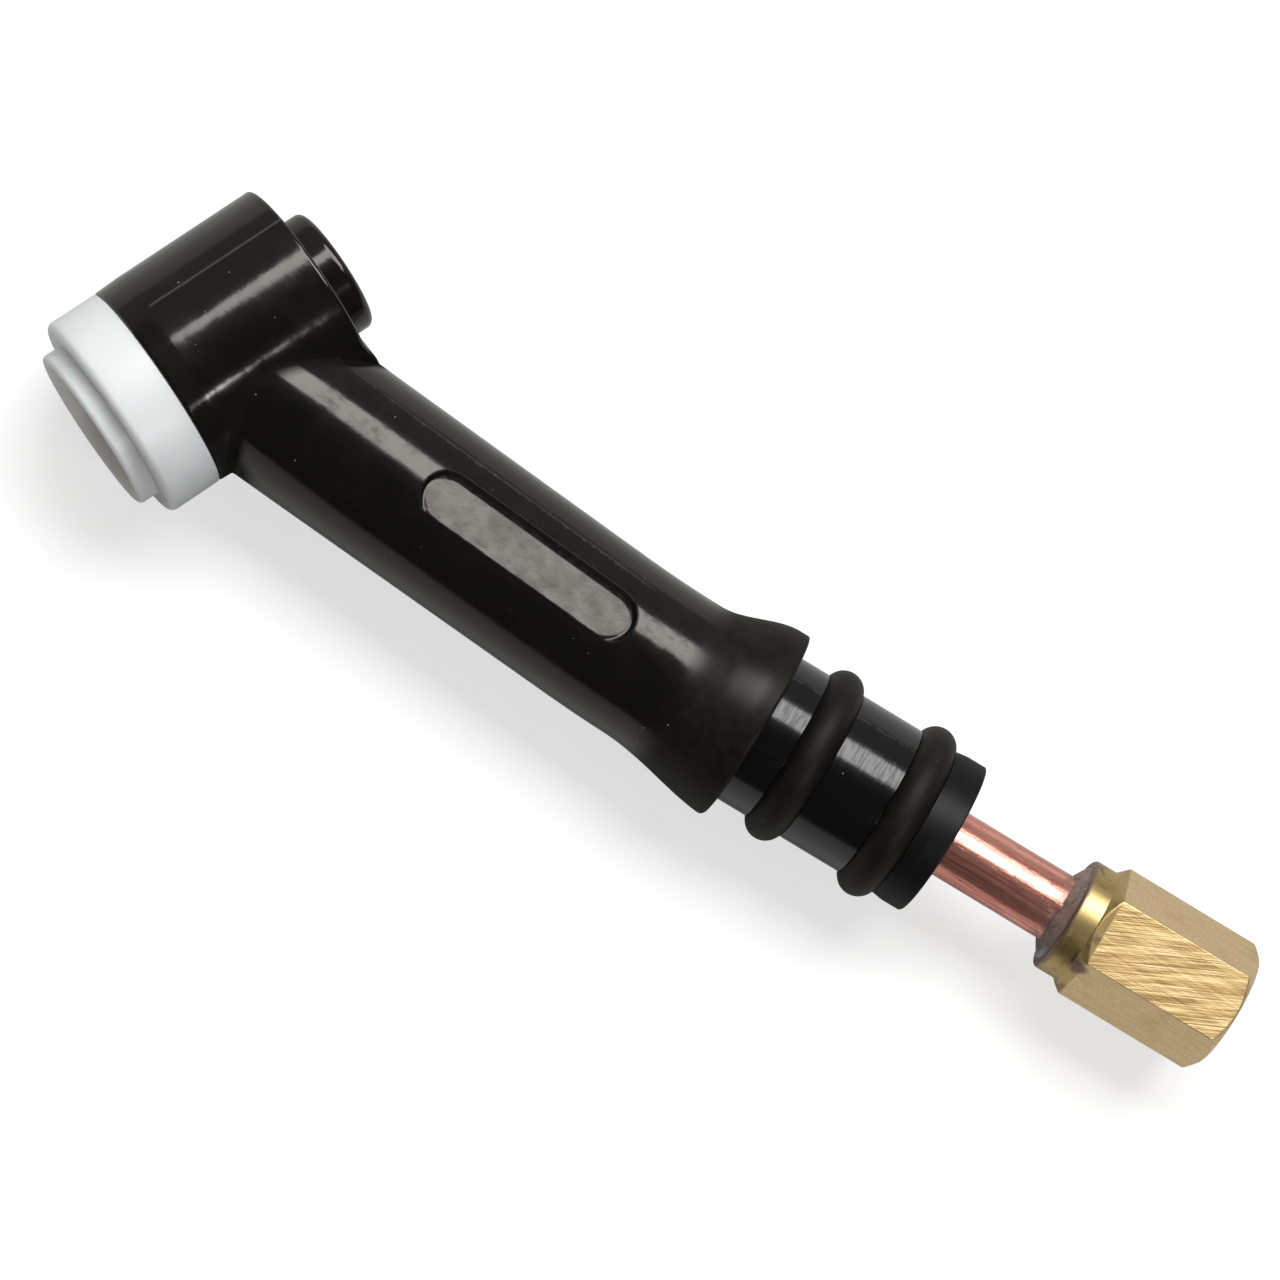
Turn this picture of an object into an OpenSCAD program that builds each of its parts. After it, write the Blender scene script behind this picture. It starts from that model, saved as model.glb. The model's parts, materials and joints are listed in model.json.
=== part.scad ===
// Gas-cooled TIG torch body with a flexible neck: head, neck, handle plug and cable nut.
// Millimetres. The torch lies on its side: +X runs along the tail towards the cable nut,
// +Z is up, and the origin is on the tail's axis where the handle butts against the bell.

/* [Head] */
// Angle between the neck and the back cap's direction
head_angle = 70; // [65:1:80]
// Diameter of the moulded barrel
barrel_d = 19.8; // [19:0.1:24]
// Barrel from the neck's axis to its front face
barrel_front = 5.4; // [5:0.1:8]
// Barrel from the neck's axis to its rear face
barrel_rear = 10.6; // [10:0.1:14]
// Rubber wall between the barrel's face and the brass core
barrel_wall = 3.0; // [2.6:0.1:3.3]
// Round on the barrel's two rims
barrel_round = 0.5; // [0.2:0.1:1]
// Diameter of the rear collar that takes the back cap
collar_d = 11.8; // [11.4:0.1:13]
// Rear collar's length behind the barrel
collar_len = 2.8; // [2:0.1:5]
// Round on the collar's rim
collar_round = 0.7; // [0.2:0.1:1]
// Rubber wall round the core inside the collar
collar_wall = 1.2; // [0.8:0.1:1.5]
// Rubber lip that holds the back of the insulator
lip_wall = 0.7; // [0.5:0.1:1]
// Depth of the lip's pocket
lip_depth = 2.0; // [1.5:0.1:2.4]

/* [Insulator] */
// Bore, which is pushed over the core's nose
insulator_bore_d = 13.3; // [12.5:0.1:13.5]
// How far the insulator's wide step stands in from the barrel's face
insulator_inset = 0.05; // [0.05:0.05:0.3]
// Length of the wide step in front of the barrel
insulator_wide_len = 5.5; // [4.5:0.1:7]
// Diameter of the narrow step that fits inside the nozzle
insulator_narrow_d = 15.4; // [15:0.1:17]
// Length of the narrow step
insulator_narrow_len = 1.8; // [1:0.1:3]
// Round on the wide step's front edge
insulator_round = 0.8; // [0.3:0.1:1.2]

/* [Head core] */
// How far the core's front face lies inside the insulator
nose_recess = 3.7; // [2.5:0.1:4.5]
// Wall radius of the collet body's thread, at 5/16 inch and 24 turns an inch
collet_thread_r = 3.45; // [3:0.05:3.8]
// Depth of the collet body's thread
collet_thread_len = 8.0; // [5:0.5:8]
// Wall radius of the back cap's thread
cap_thread_r = 3.45; // [3:0.05:3.6]
// Depth of the back cap's thread
cap_thread_len = 8.0; // [5:0.5:8]
// Radius of the passage between the two threads
tungsten_bore_r = 2.6; // [2:0.1:2.8]
// How far the core's rear end lies inside the collar
core_recess = 0.4; // [0.2:0.1:1]
// Chamfer on the nose's rim
nose_chamfer = 0.4; // [0.2:0.1:0.6]
// Radius of the core's side boss, where the neck's ferrule is brazed in
boss_r = 6.2; // [5.8:0.1:6.3]
// How far the boss's face stands clear of the core's round body
boss_stand = 0.1; // [0.1:0.1:1]

/* [Neck] */
// Diameter of the neck's jacket
neck_d = 15.2; // [15:0.1:16.4]
// Distance between two bending stations
hinge_pitch = 9.6; // [9.5:0.1:14]
// Length of the front ferrule that shows between the neck's last socket and its braze
ferrule_show = 0.3; // [0.1:0.1:2]
// Set that the neck has taken, as a turn at its rear station
neck_set = 4.4; // [0:0.2:6]
// Most that one station bends from rest
bend_limit = 20; // [10:1:20]
// Wall of the skirt over each ball
skirt_wall = 1.0; // [0.8:0.1:1.2]
// Clearance between a ball and its socket
ball_gap = 0.3; // [0.2:0.05:0.5]

/* [Flat on the neck] */
// Length of the flat recess
flat_len = 22; // [10:1:26]
// Width of the flat recess
flat_w = 5.5; // [3:0.1:6]
// Distance from the neck's rear station to the recess
flat_start = 2.2; // [1:0.1:4]
// Turn of the recess about the neck, from straight up towards the back cap's side
flat_turn = 7; // [-30:1:30]

/* [Neck core] */
// Outer diameter of the copper braid
braid_d = 8.0; // [7:0.1:8.4]
// Outer diameter of the gas tube inside the braid
gas_tube_d = 5.0; // [4:0.1:5.6]
// Bore of the gas tube
gas_bore_d = 3.2; // [2:0.1:3.4]
// Wall of the ferrules at the two ends of the braid
ferrule_wall = 0.6; // [0.4:0.1:0.7]
// Depth to which the front ferrule enters the core's boss
ferrule_depth = 2.2; // [1.5:0.1:2.4]
// Width of the braze fillet round the front ferrule
head_braze_w = 1.0; // [0.5:0.1:1.2]

/* [Bell] */
// Diameter at the bell's rim
bell_d = 18.4; // [17.5:0.1:20]
// Distance from the bell's end face to the neck's rear station
bell_len = 12.0; // [11.5:0.1:16]
// Length of the bell's flare
flare_len = 8.0; // [6:0.1:8]
// Round on the bell's rim
bell_round = 0.9; // [0.4:0.1:1.2]

/* [Handle plug] */
// Diameter that the handle slides over
plug_d = 14.5; // [13.8:0.1:16]
// Length behind the bell
plug_len = 19.4; // [18:0.1:24]
// Height of the low lip round the plug's end
plug_lip = 0.15; // [0.05:0.05:0.3]
// Length of that lip
plug_lip_len = 2.3; // [1.5:0.1:2.5]
// Round on the plug's end
plug_round = 0.6; // [0.3:0.1:1]
// How far the plug's full diameter is let into the bell's end face
plug_set = 0.5; // [0.2:0.1:1]
// Diameter of the spigot inside the bell
spigot_d = 13.0; // [12:0.1:13.2]
// Length of that spigot
spigot_len = 5.0; // [4:0.1:5]
// Distance from the bell to the first O-ring's centre
front_ring_at = 5.0; // [4.5:0.1:6]
// Distance from the plug's end to the second O-ring's centre
rear_ring_from_end = 4.8; // [4.5:0.1:7]
// Section of the O-rings
ring_section = 3.53; // [2.6:0.01:3.6]
// Inner diameter of the O-rings on the plug
ring_inner_d = 9.98; // [9.6:0.01:10.6]
// Clearance of an O-ring in its groove, on each side
ring_side_gap = 0.1; // [0.05:0.05:0.3]

/* [Tail tube] */
// Outer diameter of the copper tube, a quarter of an inch
tube_d = 6.35; // [6:0.05:7]
// Wall of the copper tube
tube_wall = 1.0; // [0.6:0.1:1.2]
// Length of tube that shows between the plug and the nut
tube_show = 12.7; // [8:0.1:20]
// Length of tube inside the rear ferrule
tube_in_ferrule = 4.0; // [2:0.1:4]
// Length of braid inside the rear ferrule
braid_in_ferrule = 4.0; // [2:0.1:4]

/* [Cable nut] */
// Width across the flats, seven sixteenths of an inch
nut_af = 11.11; // [11:0.01:13]
// Length of the hexagon
nut_hex_len = 14.1; // [12:0.1:20]
// Chamfer length at the open end
nut_chamfer = 1.1; // [0.5:0.1:1.5]
// How far that chamfer cuts into the flats at the end face
nut_chamfer_depth = 0.2; // [0.1:0.1:0.5]
// Diameter of the round collar at the tube's end
nut_collar_d = 10.9; // [10:0.1:11]
// Length of that collar
nut_collar_len = 2.2; // [1.5:0.1:4]
// Chamfer on the collar's rim
nut_collar_edge = 0.4; // [0.2:0.1:0.6]
// Length of the cone from the collar to the hexagon
nut_cone_len = 1.0; // [0.5:0.1:1.5]
// Turn of the hexagon about the tube
nut_turn = 5; // [0:1:30]
// Depth to which the tube enters the nut
nut_socket_len = 6.0; // [4:0.1:6]
// Wall radius of the cable's thread, at 3/8 inch and 24 turns an inch
cable_thread_r = 4.25; // [4:0.05:4.4]
// Depth of the cable's thread
cable_thread_len = 10.0; // [8:0.5:10]
// Width of the braze fillet round the tube
nut_braze_w = 1.5; // [0.8:0.1:1.7]
// Length of that fillet along the tube
nut_braze_len = 1.1; // [0.6:0.1:2]

/* [Fits] */
// Radial clearance of pieces that are moulded, crimped or brazed together
fit_gap = 0.04; // [0.02:0.01:0.1]
// Radial clearance of the insulator on the core's nose
push_fit = 0.08; // [0.04:0.01:0.1]
// Clearance of the insulator's other faces
face_gap = 0.1; // [0.05:0.05:0.2]

/* [Hidden] */
$fn = 96;

// Number of links between the bell and the head, and the segments of an edge round
links = 3;
round_steps = 4;
// How far a cut runs past the face it opens
past = 1;

barrel_r = barrel_d / 2;
collar_r = collar_d / 2;
collar_end = barrel_rear + collar_len;
core_r = barrel_r - barrel_wall;
core_tail_r = collar_r - collar_wall;
core_step = barrel_rear - barrel_wall + collar_wall;
core_end = collar_end - core_recess;
lip_r = barrel_r - lip_wall;
lip_floor = -barrel_front + lip_depth;

insulator_r = barrel_r - insulator_inset;
insulator_bore_r = insulator_bore_d / 2;
insulator_seat = -barrel_front - face_gap;
insulator_step = insulator_seat - insulator_wide_len;
insulator_front = insulator_step - insulator_narrow_len;
insulator_rear = lip_floor - face_gap;
nose_r = insulator_bore_r - push_fit;
nose_end = insulator_front + nose_recess;

neck_r = neck_d / 2;
socket_r = neck_r - skirt_wall;
ball_r = socket_r - ball_gap;
groove = neck_r * sin(bend_limit) + ball_gap;
rear_groove = neck_r * sin(bend_limit + neck_set) + ball_gap;
flat_height = sqrt(neck_r * neck_r - flat_w * flat_w / 4);

braid_r = braid_d / 2;
ferrule_r = braid_r + ferrule_wall;
braid_start = socket_r + ball_gap / 2;
braid_stop = sqrt(ball_r * ball_r - braid_r * braid_r);
boss_reach = (core_r + (ferrule_r + head_braze_w) * cos(head_angle)) / sin(head_angle)
    + boss_stand;
head_stub = boss_reach + head_braze_w + ferrule_show + braid_start;
neck_reach = links * hinge_pitch + head_stub;

bell_r = bell_d / 2;
plug_r = plug_d / 2;
spigot_r = spigot_d / 2;
ring_floor_r = ring_inner_d / 2 - fit_gap;
ring_half_w = ring_section / 2 + ring_side_gap;
rear_ring_at = plug_len - rear_ring_from_end;
tube_r = tube_d / 2;
tube_bore_r = tube_r - tube_wall;
tube_front = fit_gap - spigot_len;
braid_rear = tube_front - 2 * fit_gap;
ferrule_front = braid_rear - braid_in_ferrule;
ferrule_back = tube_front + tube_in_ferrule;

nut_start = plug_len + tube_show;
nut_end = nut_start + nut_collar_len + nut_cone_len + nut_hex_len;
nut_corner_r = nut_af / 2 / cos(30);
tube_end = nut_start + nut_socket_len;

// Distance of a link's socket from the neck's rear station: link 1 is next to the head
function link_at(number) = (links - number) * hinge_pitch;

// Points of a quarter round between two directions, as [radius, height]
function round_edge(centre, size, from, to) = [
    for (step = [0:round_steps])
        let (a = from + (to - from) * step / round_steps)
            [centre[0] + size * cos(a), centre[1] + size * sin(a)]
];

// Stands a shape that is drawn along Z on the tail's axis, pointing at the cable nut
module on_tail(x) {
    translate([x, 0, 0]) rotate([0, 90, 0]) children();
}

// The same on the neck's axis, pointing at the head, with its X upwards
module on_neck(distance) {
    translate([-bell_len, 0, 0]) rotate([0, 0, -neck_set])
        translate([-distance, 0, 0]) rotate([0, -90, 0]) children();
}

// The same on the head's axis, pointing at the back cap, from where the neck's axis meets it
module at_head() {
    translate([-bell_len, 0, 0]) rotate([0, 0, -neck_set])
        translate([-neck_reach, 0, 0]) rotate([0, 0, head_angle]) rotate([0, 90, 0]) children();
}

// A solid of revolution from its half section, as [radius, height] points
module turned(section) {
    rotate_extrude() polygon(section);
}

// A round bar between two heights
module bar(radius, from, to) {
    translate([0, 0, from]) cylinder(r = radius, h = to - from);
}

// A tube between two heights
module pipe(outer, inner, from, to) {
    difference() {
        bar(outer, from, to);
        bar(inner, from - past, to + past);
    }
}

// The white gasket between the barrel and the nozzle
module insulator() {
    edge = insulator_round;
    color("white") at_head() turned(concat(
        [[insulator_bore_r, insulator_rear], [insulator_bore_r, insulator_front]],
        [[insulator_narrow_d / 2 - edge / 3, insulator_front]],
        [[insulator_narrow_d / 2, insulator_front + edge / 3]],
        [[insulator_narrow_d / 2, insulator_step]],
        round_edge([insulator_r - edge, insulator_step + edge], edge, -90, 0),
        [[insulator_r, insulator_seat], [lip_r - face_gap, insulator_seat]],
        [[lip_r - face_gap, insulator_rear]]
    ));
}

// The rubber moulded over the head, with the socket for the neck's last ball
module head_jacket() {
    color([0.09, 0.09, 0.10]) difference() {
        union() {
            at_head() turned(concat(
                [[0, -barrel_front]],
                round_edge([barrel_r - barrel_round / 2, -barrel_front + barrel_round / 2],
                    barrel_round / 2, -90, 0),
                round_edge([barrel_r - barrel_round, barrel_rear - barrel_round],
                    barrel_round, 0, 90),
                [[collar_r, barrel_rear]],
                round_edge([collar_r - collar_round, collar_end - collar_round],
                    collar_round, 0, 90),
                [[0, collar_end]]
            ));
            intersection() {
                on_neck(links * hinge_pitch) bar(neck_r, 0, head_stub);
                at_head() bar(4 * barrel_r, -barrel_front + lip_depth / 2, 4 * barrel_r);
            }
        }
        at_head() bar(lip_r, -barrel_front - past, lip_floor);
        at_head() bar(core_r + fit_gap, lip_floor - past, core_step + fit_gap);
        at_head() bar(core_tail_r + fit_gap, core_step, collar_end + past);
        on_neck(links * hinge_pitch) {
            sphere(r = socket_r);
            bar(ferrule_r + fit_gap, 0, head_stub);
        }
        neck_boss(boss_r + fit_gap, boss_reach + head_braze_w + fit_gap);
    }
}

// The brass core: nose for the insulator, collet thread, back cap thread and gas port
module head_core() {
    color("goldenrod") difference() {
        union() {
            at_head() turned([
                [0, nose_end], [nose_r - nose_chamfer, nose_end],
                [nose_r, nose_end + nose_chamfer],
                [nose_r, lip_floor], [core_r, lip_floor], [core_r, core_step],
                [core_tail_r, core_step], [core_tail_r, core_end], [0, core_end]
            ]);
            neck_boss(boss_r, boss_reach);
        }
        at_head() bar(tungsten_bore_r, nose_end, core_end);
        at_head() bar(collet_thread_r, nose_end - past, nose_end + collet_thread_len);
        at_head() bar(cap_thread_r, core_end - cap_thread_len, core_end + past);
        on_neck(links * hinge_pitch) {
            bar(gas_bore_d / 2, 0, head_stub);
            bar(ferrule_r + fit_gap, 0, head_stub - boss_reach + ferrule_depth + fit_gap);
        }
    }
}

// The core's side boss, cut off level with the seat of the insulator
module neck_boss(radius, reach) {
    intersection() {
        on_neck(links * hinge_pitch) bar(radius, head_stub - reach, head_stub);
        at_head() bar(4 * barrel_r, lip_floor, 4 * barrel_r);
    }
}

// The sleeve that holds the braid's front end in the core's boss
module head_ferrule() {
    color("peru") on_neck(links * hinge_pitch)
        pipe(ferrule_r, gas_bore_d / 2, braid_start, head_stub - boss_reach + ferrule_depth);
}

// Braze between that sleeve and the boss
module head_braze() {
    color("silver") on_neck(links * hinge_pitch) translate([0, 0, head_stub - boss_reach - fit_gap])
        braze_fillet(ferrule_r + fit_gap, head_braze_w, head_braze_w);
}

// A hollow-faced fillet round a tube: its base is the plane z = 0, and it tapers down the tube
module braze_fillet(inner, length, width) {
    turned(concat(
        [[inner, 0]],
        [for (step = [0:round_steps])
            let (a = 90 * step / round_steps)
                [inner + width * (1 - cos(a)), -length * (1 - sin(a))]]
    ));
}

// A link of the rubber jacket: socket at its tail end, ball at its head end
module neck_link(number) {
    color([0.10, 0.10, 0.11]) difference() {
        on_neck(link_at(number)) difference() {
            union() {
                bar(neck_r, 0, hinge_pitch - groove);
                translate([0, 0, hinge_pitch]) sphere(r = ball_r);
            }
            sphere(r = socket_r);
            bar(braid_r + fit_gap, 0, hinge_pitch + ball_r + past);
        }
        neck_flat();
    }
}

// The flat recess with round ends that runs along the neck. The cutter is a little wider
// than the flat, whose own width comes from its depth.
module neck_flat() {
    cutter_w = 1.1 * flat_w;
    straight = flat_len - cutter_w;
    on_neck(flat_start + cutter_w / 2) rotate([0, 0, flat_turn]) translate([flat_height, 0, 0])
        rotate([0, 90, 0]) linear_extrude(neck_r) union() {
            circle(d = cutter_w);
            translate([-straight, -cutter_w / 2]) square([straight, cutter_w]);
            translate([-straight, 0]) circle(d = cutter_w);
        }
}

// The jacket's rear end: a ball in the last link, and the bell that the handle butts against
module neck_bell() {
    steps = 6;
    flare = bell_r - neck_r;
    color([0.10, 0.10, 0.11]) on_tail(0) difference() {
        union() {
            translate([0, 0, -bell_len]) sphere(r = ball_r);
            turned(concat(
                [[0, rear_groove - bell_len], [neck_r, rear_groove - bell_len]],
                [for (step = [0:steps - 1])
                    let (part = step / steps)
                        [neck_r + flare * (1 - cos(180 * part)) / 2,
                            -flare_len + (flare_len - bell_round) * part]],
                round_edge([bell_r - bell_round, -bell_round], bell_round, 0, 90),
                [[0, 0]]
            ));
        }
        bar(braid_r + fit_gap, -bell_len - ball_r - past, 0);
        bar(ferrule_r + fit_gap, ferrule_front - fit_gap, 0);
        bar(spigot_r + fit_gap, -spigot_len - fit_gap, past);
        bar(plug_r + fit_gap, -plug_set, past);
    }
}

// A piece of the copper braid, or of the gas tube inside it, in the neck
module neck_core_piece(number, outer, inner) {
    if (number <= links) {
        on_neck(link_at(number)) pipe(outer, inner, braid_start, hinge_pitch + braid_stop);
    } else {
        on_tail(0) pipe(outer, inner, -bell_len - braid_stop, braid_rear);
    }
}

module braid(number) {
    color("chocolate") neck_core_piece(number, braid_r, gas_tube_d / 2 + fit_gap);
}

module gas_tube(number) {
    color("ivory") neck_core_piece(number, gas_tube_d / 2, gas_bore_d / 2);
}

// The sleeve that joins the braid to the copper tube
module rear_ferrule() {
    color("peru") on_tail(0) difference() {
        bar(ferrule_r, ferrule_front, ferrule_back);
        bar(braid_r + fit_gap, ferrule_front - past, braid_rear + fit_gap);
        bar(tube_r + fit_gap, tube_front - 2 * fit_gap, ferrule_back + past);
    }
}

// The hard plug that the handle slides over, with two O-ring grooves
module handle_plug() {
    color([0.06, 0.06, 0.07]) on_tail(0) difference() {
        union() {
            bar(spigot_r, -spigot_len, past);
            turned(concat(
                [[0, -plug_set], [plug_r, -plug_set], [plug_r, plug_len - plug_lip_len]],
                [[plug_r + plug_lip, plug_len - plug_lip_len + 2 * plug_lip]],
                round_edge([plug_r + plug_lip - plug_round, plug_len - plug_round],
                    plug_round, 0, 90),
                [[0, plug_len]]
            ));
        }
        for (ring_at = [front_ring_at, rear_ring_at])
            pipe(plug_r + past, ring_floor_r, ring_at - ring_half_w, ring_at + ring_half_w);
        bar(ferrule_r + fit_gap, -spigot_len - past, ferrule_back + fit_gap);
        bar(tube_r + fit_gap, -spigot_len, plug_len + past);
    }
}

module o_ring(ring_at) {
    color([0.14, 0.13, 0.13]) on_tail(ring_at)
        rotate_extrude() translate([(ring_inner_d + ring_section) / 2, 0]) circle(d = ring_section);
}

// The copper tube from the rear ferrule to the cable nut
module tail_tube() {
    color([0.85, 0.55, 0.42]) on_tail(0) pipe(tube_r, tube_bore_r, tube_front, tube_end);
}

// Braze between the tube and the nut's collar
module nut_braze() {
    color("silver") on_tail(nut_start - fit_gap)
        braze_fillet(tube_r + fit_gap, nut_braze_len, nut_braze_w);
}

// The brass nut that the power cable screws into
module cable_nut() {
    collar_r = nut_collar_d / 2;
    face_r = nut_af / 2 - nut_chamfer_depth;
    cone_start = nut_start + nut_collar_len;
    over_r = nut_corner_r + past;
    cone_slope = nut_cone_len / (nut_corner_r - collar_r);
    chamfer_slope = nut_chamfer / (nut_corner_r - face_r);
    color("goldenrod") on_tail(0) difference() {
        intersection() {
            turned([
                [0, nut_start], [collar_r - nut_collar_edge, nut_start],
                [collar_r, nut_start + nut_collar_edge], [collar_r, cone_start],
                [over_r, cone_start + cone_slope * (over_r - collar_r)],
                [over_r, nut_end - chamfer_slope * (over_r - face_r)],
                [face_r, nut_end], [0, nut_end]
            ]);
            union() {
                bar(collar_r + past, nut_start - past, cone_start);
                rotate([0, 0, nut_turn]) hex_bar(cone_start - nut_collar_len / 2, nut_end + past);
            }
        }
        bar(tube_r + fit_gap, nut_start - past, tube_end + fit_gap);
        bar(tube_bore_r, nut_start, nut_end);
        bar(cable_thread_r, nut_end - cable_thread_len, nut_end + past);
    }
}

// A hexagonal bar between two heights, with flats up and down
module hex_bar(from, to) {
    translate([0, 0, from]) rotate([0, 0, 30]) cylinder(r = nut_corner_r, h = to - from, $fn = 6);
}

insulator();
head_jacket();
head_core();
head_ferrule();
head_braze();
neck_link(1);  // neck_link_1
neck_link(2);  // neck_link_2
neck_link(3);  // neck_link_3
neck_bell();
braid(1);  // braid_1
braid(2);  // braid_2
braid(3);  // braid_3
braid(4);  // braid_4
gas_tube(1);  // gas_tube_1
gas_tube(2);  // gas_tube_2
gas_tube(3);  // gas_tube_3
gas_tube(4);  // gas_tube_4
rear_ferrule();
handle_plug();
o_ring(front_ring_at);  // front_o_ring
o_ring(rear_ring_at);  // rear_o_ring
tail_tube();
nut_braze();
cable_nut();
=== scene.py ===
"""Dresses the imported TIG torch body: rubber skin, gasket, plug, rings, copper, brass and stage."""

import json
import math
from types import SimpleNamespace

import bmesh
import bpy
import numpy as np
from mathutils import Matrix, Vector


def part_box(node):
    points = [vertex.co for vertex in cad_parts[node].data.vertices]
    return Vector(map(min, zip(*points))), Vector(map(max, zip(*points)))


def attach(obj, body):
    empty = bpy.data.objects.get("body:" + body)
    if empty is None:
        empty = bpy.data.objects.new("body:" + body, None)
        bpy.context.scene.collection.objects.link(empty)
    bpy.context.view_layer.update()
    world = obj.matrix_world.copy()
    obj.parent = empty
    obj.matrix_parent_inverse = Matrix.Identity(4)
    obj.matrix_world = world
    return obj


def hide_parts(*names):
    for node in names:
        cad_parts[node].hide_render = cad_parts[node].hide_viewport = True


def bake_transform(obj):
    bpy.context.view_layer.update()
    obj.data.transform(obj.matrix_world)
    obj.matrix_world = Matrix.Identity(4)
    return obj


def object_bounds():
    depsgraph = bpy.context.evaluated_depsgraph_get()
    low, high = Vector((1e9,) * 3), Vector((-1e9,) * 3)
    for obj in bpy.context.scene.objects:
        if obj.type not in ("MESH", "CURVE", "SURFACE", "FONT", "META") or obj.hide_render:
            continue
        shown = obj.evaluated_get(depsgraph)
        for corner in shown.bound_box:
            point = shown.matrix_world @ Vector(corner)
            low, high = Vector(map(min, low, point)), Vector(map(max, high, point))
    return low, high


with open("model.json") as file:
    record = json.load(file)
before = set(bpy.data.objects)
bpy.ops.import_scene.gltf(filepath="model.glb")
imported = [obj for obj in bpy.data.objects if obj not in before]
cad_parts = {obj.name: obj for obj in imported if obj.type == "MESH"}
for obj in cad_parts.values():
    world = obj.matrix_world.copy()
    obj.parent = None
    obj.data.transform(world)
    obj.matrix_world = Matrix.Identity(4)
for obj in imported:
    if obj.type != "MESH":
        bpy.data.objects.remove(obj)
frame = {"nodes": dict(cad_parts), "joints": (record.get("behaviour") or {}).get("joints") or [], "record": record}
CAD_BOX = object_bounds()

bl_info = {
    "name": "TIG Torch Dresser",
    "version": (1, 0, 0),
    "blender": (4, 5, 0),
    "location": "3D View > Sidebar > TIG Torch",
    "description": "Builds the skin, metal parts, finishes and stage of a flexible TIG torch body",
    "category": "Object",
}

MM = 0.001
TAU = 2 * math.pi
UP = np.array((0.0, 0.0, 1.0))
REST = "rest_place"


# Places, read from the frame, in millimetres


def named(items, name):
    """The joint or mount of that name."""
    return next(item for item in items if item["name"] == name)


def place_of(item):
    """Where a joint or mount is, in millimetres."""
    return np.array(item["pos_m"], float) / MM


def round_axis(point, side, radius, angle):
    """Points at a radius and at an angle, from up towards a side, round points of an axis."""
    across = np.cos(angle)[..., None] * UP + np.sin(angle)[..., None] * side
    return point + radius[..., None] * across


class Line:
    """A straight axis in the plane of head and neck, with a side square to it, in millimetres."""

    def __init__(self, origin, along, turn=1):
        self.origin = np.array(origin, float)
        self.along = np.array(along, float)
        self.side = turn * np.cross(self.along, UP)
        self.axes = np.stack([self.side, UP, self.along])

    def place(self, radius, angle, height):
        """Points at a radius, an angle from up towards the side, and a height along the axis."""
        radius, angle, height = np.broadcast_arrays(radius, angle, height)
        return round_axis(self.origin, self.side, radius, angle) + height[..., None] * self.along

    def local(self, points):
        """Distances of points to the side, up and along."""
        return (points - self.origin) @ self.axes.T

    def world(self, local):
        """Points from their distances to the side, up and along."""
        return self.origin + local @ self.axes


def crossing(origin, along, other, direction):
    """Distance along the first line at which it meets the second, in their common plane."""
    matrix = np.stack([along[:2], -direction[:2]], 1)
    return np.linalg.solve(matrix, (other - origin)[:2])[0]


JOINTS, MOUNTS = frame["joints"], frame["record"]["mounts"]
BEND = place_of(named(JOINTS, "neck_bend"))
NECK_STEP = place_of(named(JOINTS, "neck_sway")) - BEND
PITCH = float(np.linalg.norm(NECK_STEP))
HALF = PITCH / 2
NECK = Line(BEND, NECK_STEP / PITCH)
HEAD_ALONG = -np.array(named(JOINTS, "insulator_pull")["axis"], float)
BACK_CAP = place_of(named(MOUNTS, "back_cap_thread"))
REACH = crossing(BEND, NECK.along, BACK_CAP, HEAD_ALONG)
HEAD = Line(BEND + REACH * NECK.along, HEAD_ALONG)
TAIL = Line((0, 0, 0), (1, 0, 0), turn=-1)
BELL_LEN = -BEND[0]
SKIN_BODIES = ["tail", "link_3", "link_2", "link_1", "head"]
SKIN_END = (len(SKIN_BODIES) - 2) * PITCH + HALF
NOSE_END = float(HEAD.local(place_of(named(MOUNTS, "collet_thread")))[2])
CORE_END = float(HEAD.local(BACK_CAP)[2])
NUT_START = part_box("cable_nut")[0][0] / MM
NUT_END = place_of(named(MOUNTS, "cable_thread"))[0]
RING_NODES = ("front_o_ring", "rear_o_ring")
LOWEST = CAD_BOX[0][2]

# Forms that aren't among the sizes, in millimetres
BAND = -3.5  # rear edge of the drafted band at the barrel's front, along the head
SOCKET_R = 6.6  # round socket at the neck's front station
BOSS_R = 6.24  # room for the core's side boss
BOSS_END = 10.52  # how far that room reaches from the head's axis
GASKET_BORE_R, NOZZLE_SEAT_R = 6.65, 7.7
GASKET_REACH = 3.7  # how far the insulator stands out in front of the nose
GASKET_STEP = 1.8  # length of the insulator's narrow step
GASKET_PLAY = 0.1  # how far the insulator stays clear of the rubber
TUBE_SEAT = 6.0  # how far the tube goes into the nut
FERRULE_END = -0.92  # end of the rear ferrule's bore, along the tail
CAP_THREAD_CREST_R, CAP_THREAD_LEN = 3.45, 8.0
CABLE_THREAD_CREST_R, CABLE_THREAD_LEN = 4.25, 10.0

# The flat recess on the neck, and angles from up towards the side of each line
FLAT_MIDDLE = math.radians(4)  # the recess's middle
FLAT_FACES = math.radians(8)  # where the recess's floor faces
FLAT_SPARE = 0.2  # how far the recess's outline is moved aside, in millimetres
HEAD_SEAM_ANGLE, NECK_SEAM_ANGLE, PLUG_SEAM_ANGLE = 31.5, 37.0, 38.0  # degrees

# Where one finish passes into the next, in millimetres
BELL_BLEND = (-9.5, -6.3)  # from neck to bell, along the tail
HEAD_BLEND = (35.0, 38.0)  # from neck to head, along the neck
PLUG_LIP_BLEND = (16.0, 16.5)  # on to the plug's lip, along the tail

# How finely the surfaces are divided, in millimetres or counts
HEAD_GRID = ((-10.5, -10.5, -6.0), (15.8, 10.5, 14.2))  # box of samples round the head
HEAD_CELL = 0.24
SKIN_COLUMNS = 448
SKIN_SPACING = 0.12
THREAD_ROWS = 12  # rows of points for each turn of a thread

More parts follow.
